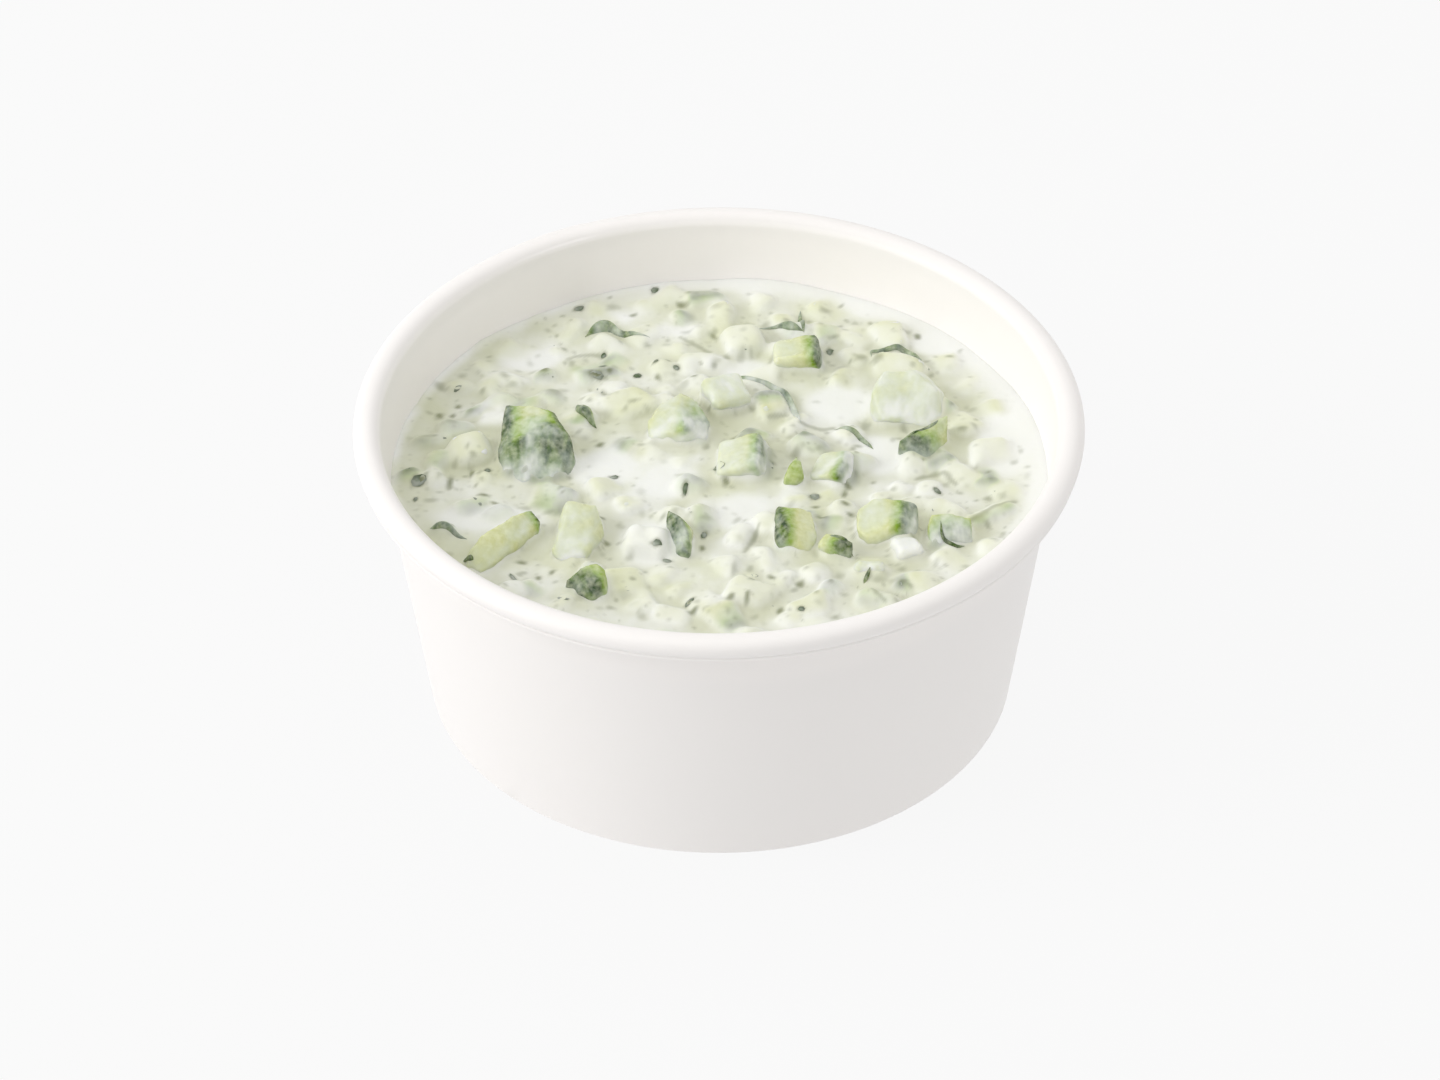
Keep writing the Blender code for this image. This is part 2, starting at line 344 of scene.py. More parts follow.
def paperboard_material(settings):
    """Clay-coated paperboard, rolled and heat-sealed: an even warm white with a satin sheen.

    Its fibres show only as faint mottling; the inside is a little whiter, painted light against the
    shade in the bowl.
    """
    material, tree, shader = new_material("Coated paperboard")
    place = add_node(tree, "ShaderNodeTexCoord").outputs["Object"]
    fibre_width = 0.4 * MM      # a real fibre is finer, and would not show
    fibres = add_node(tree, "ShaderNodeTexNoise", {
        "Vector": place, "Scale": 1 / fibre_width, "Detail": 3.0, "Roughness": 0.6,
    })
    cloud = add_node(tree, "ShaderNodeTexNoise", {
        "Vector": place, "Scale": 1 / (9 * MM), "Detail": 2.0,
    })
    shade = add_node(tree, "ShaderNodeMath", {0: fibres.outputs["Fac"], 1: cloud.outputs["Fac"]},
                     operation="MULTIPLY")
    flat = add_node(tree, "ShaderNodeVectorMath", {0: place, 1: (1, 1, 0)}, operation="MULTIPLY")
    radius = add_node(tree, "ShaderNodeVectorMath", {0: flat.outputs[0]}, operation="LENGTH")
    height = add_node(tree, "ShaderNodeSeparateXYZ", {0: place})
    lean = add_node(tree, "ShaderNodeMath", {
        0: height.outputs["Z"], 1: -settings.wall_slope, 2: radius.outputs["Value"],
    }, operation="MULTIPLY_ADD")
    # Painted light: the inside of the wall takes the whiter colour, against the shade in the bowl.
    inside = add_node(tree, "ShaderNodeMapRange", {
        "Value": lean.outputs[0], "From Min": settings.foot_radius - 0.40 * MM,
        "From Max": settings.foot_radius - 0.10 * MM, "To Min": 1.0, "To Max": 0.0,
    })
    side = add_node(tree, "ShaderNodeMix", {
        0: inside.outputs["Result"], 6: tuple(settings.colour), 7: tuple(settings.brightened_lining),
    }, data_type="RGBA")
    uneven = add_node(tree, "ShaderNodeMapRange", {
        "Value": shade.outputs[0], "To Min": 0.0, "To Max": 0.12,
    })
    colour = add_node(tree, "ShaderNodeMix", {
        0: uneven.outputs["Result"], 6: side.outputs[2], 7: linear("#D8D6D2"),
    }, data_type="RGBA")
    tree.links.new(colour.outputs[2], shader.inputs["Base Color"])
    gloss = add_node(tree, "ShaderNodeMapRange", {
        "Value": fibres.outputs["Fac"], "To Min": 0.40, "To Max": 0.56,
    })
    tree.links.new(gloss.outputs["Result"], shader.inputs["Roughness"])
    bump = add_node(tree, "ShaderNodeBump", {
        "Height": fibres.outputs["Fac"], "Strength": 0.25, "Distance": 0.03 * MM,
    })
    tree.links.new(bump.outputs["Normal"], shader.inputs["Normal"])
    shader.inputs["IOR"].default_value = 1.5
    # Thin board: some light comes through to the shaded side.
    shader.inputs["Subsurface Weight"].default_value = 0.4
    shader.inputs["Subsurface Radius"].default_value = (1.0, 1.0, 1.0)
    shader.inputs["Subsurface Scale"].default_value = 0.45 * MM
    return material


def cucumber_colour(tree, depth, cut, settings):
    """Colour of fresh cucumber from the depth under its peel in millimetres.

    Dark skin, a bright rind under a millimetre thick, then flesh that pales towards the core.
    """
    drift = add_node(tree, "ShaderNodeTexNoise", {"Vector": cut, "Scale": 0.7, "Detail": 2.0})
    wander = add_node(tree, "ShaderNodeMapRange", {
        "Value": drift.outputs["Fac"], "To Min": -0.35, "To Max": 0.35,
    })
    strayed = add_node(tree, "ShaderNodeMath", {0: depth, 1: wander.outputs["Result"]},
                       operation="ADD")
    deepest = 8.0
    share = add_node(tree, "ShaderNodeMath", {0: strayed.outputs[0], 1: deepest},
                     operation="DIVIDE")
    ramp = add_node(tree, "ShaderNodeValToRGB", {0: share.outputs[0]}, ramp=[
        (0.02, tuple(settings.peel)),
        (0.7 / deepest, tuple(settings.rind)),
        (1.8 / deepest, tuple(settings.flesh)),
        (5.0 / deepest, tuple(settings.core)),
    ])
    stretch = add_node(tree, "ShaderNodeMapping", {"Vector": cut, "Scale": (1.1, 0.4, 0.4)})
    streak = add_node(tree, "ShaderNodeTexNoise", {
        "Vector": stretch.outputs[0], "Scale": 0.8, "Detail": 2.0, "Roughness": 0.5,
    })
    patch = add_node(tree, "ShaderNodeMapRange", {
        "Value": streak.outputs["Fac"], "From Min": 0.42, "From Max": 0.64,
    })
    skin = add_node(tree, "ShaderNodeMapRange", {
        "Value": strayed.outputs[0], "From Min": 0.15, "From Max": 0.55, "To Min": 1.0, "To Max": 0.0,
    })
    amount = add_node(tree, "ShaderNodeMath", {
        0: patch.outputs["Result"], 1: skin.outputs["Result"],
    }, operation="MULTIPLY")
    streaked = add_node(tree, "ShaderNodeMix", {
        0: amount.outputs[0], 6: ramp.outputs["Color"], 7: tuple(settings.peel_light),
    }, data_type="RGBA")
    return streaked.outputs[2]


def cucumber_material(settings, cream):
    """Fresh cucumber cut by knife, wet with yoghurt: glossy and a little see-through at its edges.

    The film attribute says where cream still clings to it, thin and milky over the dark skin.
    """
    material, tree, shader = new_material("Knife-cut cucumber")
    depth = add_node(tree, "ShaderNodeAttribute", attribute_name="peel_depth").outputs["Fac"]
    cut = add_node(tree, "ShaderNodeAttribute", attribute_name="cut_place").outputs["Vector"]
    film = add_node(tree, "ShaderNodeAttribute", attribute_name="film").outputs["Fac"]
    bare = cucumber_colour(tree, depth, cut, settings)
    flesh_grain = add_node(tree, "ShaderNodeTexNoise", {"Vector": cut, "Scale": 1.2, "Detail": 3.0})
    grain_share = add_node(tree, "ShaderNodeMapRange", {
        "Value": flesh_grain.outputs["Fac"], "From Min": 0.35, "From Max": 0.75,
        "To Min": 0.0, "To Max": 0.40,
    })
    mottled = add_node(tree, "ShaderNodeMix", {
        0: grain_share.outputs["Result"], 6: bare, 7: linear("#E9EBD2"),
    }, data_type="RGBA")
    run = add_node(tree, "ShaderNodeMapping", {"Vector": cut, "Scale": (0.9, 0.5, 0.5)})
    ragged = add_node(tree, "ShaderNodeTexNoise", {
        "Vector": run.outputs[0], "Scale": 0.5, "Detail": 2.5, "Roughness": 0.5,
    })
    spread = add_node(tree, "ShaderNodeMapRange", {
        "Value": ragged.outputs["Fac"], "From Min": 0.3, "From Max": 0.7,
        "To Min": -0.28, "To Max": 0.28,
    })
    edge = add_node(tree, "ShaderNodeMath", {0: film, 1: spread.outputs["Result"]}, operation="ADD")
    coat = add_node(tree, "ShaderNodeMapRange", {
        "Value": edge.outputs[0], "From Min": 0.0, "From Max": 1.0, "To Max": 0.96,
    }, interpolation_type="SMOOTHSTEP")
    veil = add_node(tree, "ShaderNodeMix", {
        0: coat.outputs["Result"], 6: linear("#AEBEB0"), 7: tuple(cream),
    }, data_type="RGBA")
    colour = add_node(tree, "ShaderNodeMix", {
        0: coat.outputs["Result"], 6: mottled.outputs[2], 7: veil.outputs[2],
    }, data_type="RGBA")
    tree.links.new(colour.outputs[2], shader.inputs["Base Color"])
    gloss = add_node(tree, "ShaderNodeMapRange", {
        "Value": coat.outputs["Result"], "To Min": 0.26, "To Max": 0.38,
    })
    tree.links.new(gloss.outputs["Result"], shader.inputs["Roughness"])
    pores = add_node(tree, "ShaderNodeTexNoise", {"Vector": cut, "Scale": 2.4, "Detail": 3.0})
    bump = add_node(tree, "ShaderNodeBump", {
        "Height": pores.outputs["Fac"], "Strength": 0.5, "Distance": 0.06 * MM,
    })
    tree.links.new(bump.outputs["Normal"], shader.inputs["Normal"])
    shader.inputs["IOR"].default_value = 1.36
    shader.inputs["Subsurface Weight"].default_value = 0.4
    shader.inputs["Subsurface Radius"].default_value = (1.0, 1.0, 0.6)
    shader.inputs["Subsurface Scale"].default_value = 1.0 * MM
    return material


def specks(tree, place, size, fewest, amount):
    """Soft round specks about size across in one cell out of a few, as a share from 0 to amount."""
    cells = add_node(tree, "ShaderNodeTexVoronoi", {
        "Vector": place, "Scale": 1 / (2.1 * size), "Randomness": 1.0,
    })
    dot = add_node(tree, "ShaderNodeMapRange", {
        "Value": cells.outputs["Distance"], "From Min": 0.08, "From Max": 0.46,
        "To Min": amount, "To Max": 0.0,
    }, interpolation_type="SMOOTHSTEP")
    chosen = add_node(tree, "ShaderNodeSeparateColor", {0: cells.outputs["Color"]})
    few = add_node(tree, "ShaderNodeMapRange", {
        "Value": chosen.outputs[0], "From Min": fewest, "From Max": 1.0,
    })
    return add_node(tree, "ShaderNodeMath", {0: dot.outputs["Result"], 1: few.outputs["Result"]},
                    operation="MULTIPLY").outputs[0]


def cream_material(settings, cucumber):
    """Strained yoghurt let down with cucumber juice: white in its pools, painted grey-green shade in
    its hollows.

    Where the film over a piece of cucumber is thin, the piece's colour shows through, and chopped
    herbs just under the surface dull it with soft specks.
    """
    material, tree, shader = new_material("Yoghurt and cucumber cream")
    place = add_node(tree, "ShaderNodeTexCoord").outputs["Object"]
    depth = add_node(tree, "ShaderNodeAttribute", attribute_name="peel_depth").outputs["Fac"]
    tint = add_node(tree, "ShaderNodeAttribute", attribute_name="tint").outputs["Fac"]
    painted_shade = add_node(tree, "ShaderNodeAttribute", attribute_name="painted_shade").outputs["Fac"]
    busy = add_node(tree, "ShaderNodeAttribute", attribute_name="busy").outputs["Fac"]
    fleck = add_node(tree, "ShaderNodeAttribute", attribute_name="fleck").outputs["Fac"]
    scaled = add_node(tree, "ShaderNodeVectorMath", {0: place, "Scale": 1 / MM}, operation="SCALE")
    under = cucumber_colour(tree, depth, scaled.outputs[0], cucumber)
    juice = add_node(tree, "ShaderNodeTexNoise", {
        "Vector": place, "Scale": 1 / (7 * MM), "Detail": 3.0, "Roughness": 0.45,
    })
    juice_share = add_node(tree, "ShaderNodeMapRange", {
        "Value": juice.outputs["Fac"], "From Min": 0.40, "From Max": 0.64,
    })
    juicy = add_node(tree, "ShaderNodeMath", {0: juice_share.outputs["Result"], 1: busy},
                     operation="MULTIPLY")
    cream = add_node(tree, "ShaderNodeMix", {
        0: juicy.outputs[0], 6: tuple(settings.colour), 7: tuple(settings.juice),
    }, data_type="RGBA")
    # Painted shade: grey-green mixed in where the cream lies low and along the shaded left wall.
    shade_tint = add_node(tree, "ShaderNodeMath", {0: painted_shade, 1: 0.55}, operation="MULTIPLY")
    pooled = add_node(tree, "ShaderNodeMix", {
        0: shade_tint.outputs[0], 6: cream.outputs[2], 7: tuple(settings.shade_tint),
    }, data_type="RGBA")
    thinned = add_node(tree, "ShaderNodeMix", {0: tint, 6: pooled.outputs[2], 7: under},
                       data_type="RGBA")
    small = specks(tree, place, 0.55 * MM, 0.66, 0.16)
    dulled = add_node(tree, "ShaderNodeMath", {0: small, 1: busy}, operation="MULTIPLY")
    stained = add_node(tree, "ShaderNodeMath", {0: dulled.outputs[0], 1: fleck},
                       operation="MAXIMUM")
    colour = add_node(tree, "ShaderNodeMix", {
        0: stained.outputs[0], 6: thinned.outputs[2], 7: linear("#62683E"),
    }, data_type="RGBA")
    tree.links.new(colour.outputs[2], shader.inputs["Base Color"])
    curd_size = 0.9 * MM
    curd = add_node(tree, "ShaderNodeTexNoise", {
        "Vector": place, "Scale": 1 / curd_size, "Detail": 3.0, "Roughness": 0.5,
    })
    gloss = add_node(tree, "ShaderNodeMapRange", {
        "Value": curd.outputs["Fac"], "To Min": 0.38, "To Max": 0.55,
    })
    tree.links.new(gloss.outputs["Result"], shader.inputs["Roughness"])
    bump = add_node(tree, "ShaderNodeBump", {
        "Height": curd.outputs["Fac"], "Strength": 0.5, "Distance": 0.10 * MM,
    })
    tree.links.new(bump.outputs["Normal"], shader.inputs["Normal"])
    shader.inputs["IOR"].default_value = 1.35
    shader.inputs["Subsurface Weight"].default_value = 0.35
    shader.inputs["Subsurface Radius"].default_value = (1.0, 1.0, 0.9)
    shader.inputs["Subsurface Scale"].default_value = 0.8 * MM
    return material


def herb_material(name, colour, cream, veil):
    """Chopped dill and mint, cut fine and wet: dull dark green, paler the more cream lies on it."""
    material, tree, shader = new_material(name)
    place = add_node(tree, "ShaderNodeTexCoord").outputs["Object"]
    change = add_node(tree, "ShaderNodeTexNoise", {
        "Vector": place, "Scale": 1 / (1.4 * MM), "Detail": 2.0,
    })
    share = add_node(tree, "ShaderNodeMapRange", {
        "Value": change.outputs["Fac"], "From Min": 0.3, "From Max": 0.7,
        "To Min": max(0.0, veil - 0.3), "To Max": min(1.0, veil + 0.3),
    })
    mix = add_node(tree, "ShaderNodeMix", {
        0: share.outputs["Result"], 6: tuple(colour), 7: tuple(cream),
    }, data_type="RGBA")
    tree.links.new(mix.outputs[2], shader.inputs["Base Color"])
    shader.inputs["Roughness"].default_value = 0.45
    shader.inputs["IOR"].default_value = 1.4
    return material


def shooting_table_material():
    """White acrylic shooting table lit from below, so that shadows on it stay pale."""
    material, tree, shader = new_material("White acrylic shooting table")
    shader.inputs["Base Color"].default_value = linear("#404040")
    shader.inputs["Roughness"].default_value = 0.8
    shader.inputs["Specular IOR Level"].default_value = 0.1
    shader.inputs["Emission Color"].default_value = linear("#FFFFFF")
    shader.inputs["Emission Strength"].default_value = 0.885
    return material


# ---------------------------------------------------------------- paper bowl


def wall_outer(settings, height):
    return settings.foot_radius + settings.wall_slope * height


def wall_inner(settings, height):
    return wall_outer(settings, height) - settings.paper


def arc(centre, radii, start, end, steps, square=2.0):
    """Points (radius, height) along an ellipse from one angle to another, in degrees.

    A square above 2 flattens its sides towards a box.
    """
    points = []
    for i in range(steps + 1):
        angle = math.radians(start + (end - start) * i / steps)
        cosine = math.cos(angle)
        sine = math.sin(angle)
        points.append((
            centre[0] + radii[0] * math.copysign(abs(cosine) ** (2 / square), cosine),
            centre[1] + radii[1] * math.copysign(abs(sine) ** (2 / square), sine),
        ))
    return points


def wall_profile(settings):
    """Section of the wall: folded foot, straight side, curled rim with its tucked edge."""
    foot_height = BASE_LOW.z - 0.0003
    fold = 0.00125
    edge = 0.00018
    foot = settings.foot_radius
    roll = (RIM_RADIUS - settings.roll_width / 2, RIM_TOP - settings.roll_height / 2)
    half = (settings.roll_width / 2, settings.roll_height / 2)
    tuck = 0.00025
    tuck_centre = (RIM_RADIUS - 0.00060, RIM_TOP - settings.roll_height + 0.00012)
    points = arc((foot - fold + edge, edge), (edge, edge), 180, 270, 4)
    points += arc((foot - edge, edge), (edge, edge), 270, 360, 4)
    under = tuck_centre[1] - tuck
    points.append((wall_outer(settings, under * 0.5), under * 0.5))
    points += arc((wall_outer(settings, under) + 0.0003, under - 0.0002), (0.0003, 0.0003), 180, 90, 4)
    points += arc(tuck_centre, (tuck, tuck), 270, 390, 8)
    points += arc(roll, half, -42, 90, 30, 2.15)
    points += arc((roll[0], RIM_TOP - 0.0018), (half[0], 0.0018), 90, 170, 20)[1:]
    inner_foot = wall_inner(settings, foot_height)
    points.append((wall_inner(settings, (RIM_TOP + foot_height) / 2), (RIM_TOP + foot_height) / 2))
    points.append((inner_foot, foot_height))
    points += arc((foot - fold + settings.wall_slope * foot_height + edge, foot_height - edge),
                  (edge, edge), 90, 180, 4)
    return points


def turned_tree():
    """Geometry Nodes tree that turns the holder's points about Z into a closed shell.

    A lapped seam stands out over a short arc, and its edge runs straight up the wall.
    """
    tree = bpy.data.node_groups.new("Turned shell", "GeometryNodeTree")
    face = tree.interface
    face.new_socket("Geometry", in_out="INPUT", socket_type="NodeSocketGeometry")
    face.new_socket("Segments", in_out="INPUT", socket_type="NodeSocketInt")
    face.new_socket("Seam step", in_out="INPUT", socket_type="NodeSocketFloat")
    face.new_socket("Seam angle", in_out="INPUT", socket_type="NodeSocketFloat")
    face.new_socket("Material", in_out="INPUT", socket_type="NodeSocketMaterial")
    face.new_socket("Geometry", in_out="OUTPUT", socket_type="NodeSocketGeometry")
    given = add_node(tree, "NodeGroupInput").outputs
    count = add_node(tree, "GeometryNodeAttributeDomainSize", {"Geometry": given["Geometry"]})
    around = add_node(tree, "ShaderNodeMath", {0: given["Segments"], 1: 1.0}, operation="ADD")
    grid = add_node(tree, "GeometryNodeMeshGrid", {
        "Size X": 1.0, "Size Y": 1.0,
        "Vertices X": count.outputs["Point Count"], "Vertices Y": around.outputs[0],
    })
    place = add_node(tree, "GeometryNodeInputPosition").outputs[0]
    split = add_node(tree, "ShaderNodeSeparateXYZ", {0: place})
    steps = add_node(tree, "ShaderNodeMath", {0: count.outputs["Point Count"], 1: 1.0},
                     operation="SUBTRACT")
    share = add_node(tree, "ShaderNodeMath", {0: split.outputs["X"], 1: 0.5}, operation="ADD")
    number = add_node(tree, "ShaderNodeMath", {0: share.outputs[0], 1: steps.outputs[0]},
                      operation="MULTIPLY")
    nearest = add_node(tree, "ShaderNodeMath", {0: number.outputs[0]}, operation="ROUND")
    outline = add_node(tree, "GeometryNodeSampleIndex", {
        "Geometry": given["Geometry"], "Value": place, "Index": nearest.outputs[0],
    }, data_type="FLOAT_VECTOR")
    section = add_node(tree, "ShaderNodeSeparateXYZ", {0: outline.outputs[0]})
    lap = add_node(tree, "GeometryNodeSampleIndex", {
        "Geometry": given["Geometry"], "Index": nearest.outputs[0],
        "Value": add_node(tree, "GeometryNodeInputNamedAttribute", {"Name": "lap"}).outputs[0],
    }, data_type="FLOAT")
    turn = add_node(tree, "ShaderNodeMath", {0: split.outputs["Y"], 1: math.tau, 2: math.pi},
                    operation="MULTIPLY_ADD")
    off = add_node(tree, "ShaderNodeMath", {0: turn.outputs[0], 1: given["Seam angle"]},
                   operation="SUBTRACT")
    rise = add_node(tree, "ShaderNodeMapRange", {
        "Value": off.outputs[0], "From Min": 0.0, "From Max": 0.020, "To Min": 0.0, "To Max": 1.0,
    })
    fall = add_node(tree, "ShaderNodeMapRange", {
        "Value": off.outputs[0], "From Min": 0.14, "From Max": 0.30, "To Min": 1.0, "To Max": 0.0,
    })
    both = add_node(tree, "ShaderNodeMath", {0: rise.outputs[0], 1: fall.outputs[0]},
                    operation="MULTIPLY")
    step = add_node(tree, "ShaderNodeMath", {0: both.outputs[0], 1: given["Seam step"]},
                    operation="MULTIPLY")
    stand = add_node(tree, "ShaderNodeMath", {0: step.outputs[0], 1: lap.outputs[0],
                                              2: section.outputs["X"]}, operation="MULTIPLY_ADD")
    cosine = add_node(tree, "ShaderNodeMath", {0: turn.outputs[0]}, operation="COSINE")
    sine = add_node(tree, "ShaderNodeMath", {0: turn.outputs[0]}, operation="SINE")
    x = add_node(tree, "ShaderNodeMath", {0: stand.outputs[0], 1: cosine.outputs[0]},
                 operation="MULTIPLY")
    y = add_node(tree, "ShaderNodeMath", {0: stand.outputs[0], 1: sine.outputs[0]},
                 operation="MULTIPLY")
    target = add_node(tree, "ShaderNodeCombineXYZ", {
        0: x.outputs[0], 1: y.outputs[0], 2: section.outputs["Z"],
    })
    placed = add_node(tree, "GeometryNodeSetPosition", {
        "Geometry": grid.outputs["Mesh"], "Position": target.outputs[0],
    })
    closed = add_node(tree, "GeometryNodeMergeByDistance", {
        "Geometry": placed.outputs[0], "Distance": 1e-6,
    })
    real = add_node(tree, "GeometryNodeRealizeInstances", {"Geometry": closed.outputs[0]})
    painted = add_node(tree, "GeometryNodeSetMaterial", {
        "Geometry": real.outputs[0], "Material": given["Material"],
    })
    add_node(tree, "NodeGroupOutput", {0: painted.outputs[0]})
    return tree


def run_tree(holder, tree, values):
    """Run a Geometry Nodes tree on an object with its inputs set by name, and return the mesh."""
    modifier = holder.modifiers.new(tree.name, "NODES")
    modifier.node_group = tree
    for item in tree.interface.items_tree:
        if item.in_out == "INPUT" and item.name in values:
            modifier[item.identifier] = values[item.name]
    return evaluated_mesh(holder)


def turned_mesh(name, profile, laps, settings, material):
    """Closed body of revolution from (radius, height) points. Laps say which points the seam lifts."""
    outline = bpy.data.meshes.new(name)
    loop = profile + profile[:1]
    outline.from_pydata([(radius, 0.0, height) for radius, height in loop], [], [])
    store(outline, "lap", laps + laps[:1])
    mesh = run_tree(new_holder(name, outline), turned_tree(), {
        "Segments": settings.segments, "Seam step": settings.seam_step,
        "Seam angle": settings.seam_angle, "Material": material,
    })
    work = bmesh.new()
    work.from_mesh(mesh)
    bmesh.ops.remove_doubles(work, verts=work.verts, dist=1e-6)
    bmesh.ops.recalc_face_normals(work, faces=work.faces)
    work.to_mesh(mesh)
    work.free()
    mesh.shade_smooth()
    mesh.set_sharp_from_angle(angle=math.radians(50))
    return mesh


class TZATZIKI_OT_bowl(bpy.types.Operator):
    """Make the paper bowl: a curled, seamed wall and the disc pressed into its foot"""

    bl_idname = "tzatziki.bowl"
    bl_label = "Paper bowl"

    def execute(self, context):
        settings = context.scene.tzatziki_bowl
        paper = paperboard_material(settings)
        profile = wall_profile(settings)
        middle = [wall_outer(settings, height) - settings.paper / 2 for _, height in profile]
        laps = [1.0 if radius > edge else 0.0 for (radius, _), edge in zip(profile, middle)]
        wall = turned_mesh("bowl_wall_paper", profile, laps, settings, paper)
        add_piece("bowl_wall_paper", wall, paper, "paper", "bowl_wall")
        low = BASE_LOW.z
        high = BASE_HIGH.z
        bend = 0.00025
        sunk = 0.0004
        side = wall_inner(settings, low) - 0.0001
        disc = [(0.00001, low + sunk), (side - 0.006, low + sunk), (side - 0.004, low)]
        disc += arc((side - bend, low + bend), (bend, bend), 270, 360, 3)
        disc += arc((side - bend, high + sunk), (bend, bend), 0, 90, 3)
        disc += [(side - 0.004, high + 0.0002), (side - 0.006, high + sunk), (0.00001, high + sunk)]
        base = turned_mesh("bowl_base_paper", disc, [0.0] * len(disc), settings, paper)
        add_piece("bowl_base_paper", base, paper, "paper", "bowl_base")
        return {"FINISHED"}


# ---------------------------------------------------------------- cucumber


# Pieces that stand out of the cream: CAD node, turn about X, Y and Z in degrees, whether it has
# peel, how much cream film clings to it, the thickness of cream draped over it in millimetres, and
# how deep its flesh reaches under the peel, in millimetres.
DICE = (
    ("chunk_big_peel", (54, 0, -4), True, 0.34, None, 4.0),
    ("chunk_left_pale", (12, -8, 15), False, 0.80, 0.10, 4.5),
    ("chunk_centre_left", (16, 58, -18), True, 0.60, None, 3.0),
    ("chunk_centre_dome", (10, 6, 24), False, 0.56, None, 4.2),
    ("chunk_back_pale", (6, -6, 8), False, 0.90, 0.25, 5.0),
    ("chunk_back_green", (8, 74, 6), True, 0.30, None, 5.0),
    ("chunk_right_yellow", (14, -10, -24), False, 0.58, None, 3.6),
    ("wedge_right_green", (49, -45, 0), True, 0.18, None, 1.5),
    ("chunk_centre_pale", (8, 66, 4), True, 0.52, None, 5.0),
    ("wedge_centre_green", (12, -72, 0), True, 0.10, None, 1.1),
    ("chunk_centre_clear", (8, 56, -10), True, 0.66, None, 4.0),
    ("chunk_front_peel", (12, -60, 4), True, 0.00, None, 3.0),
    ("wedge_front_green", (44, 27, 0), True, 0.10, None, 1.6),
    ("chunk_front_yellow", (12, 70, 2), True, 0.46, None, 2.6),
    ("chunk_front_white", (8, 0, 20), False, 0.85, None, 5.0),
    ("chunk_front_right", (66, 0, 8), True, 0.42, None, 3.4),
    ("chunk_front_low", (58, 0, -6), False, 0.44, None, 2.2),
    ("stick_front_left", (-20, 50, 0), True, 0.20, None, 2.0),
    ("chunk_front_left", (10, 40, -6), False, 0.36, None, 2.9),
    ("wedge_near_green", (30, -60, 0), True, 0.04, None, 1.0),
    ("strip_front_centre", (20, -35, 10), True, 0.24, None, 1.8),
)

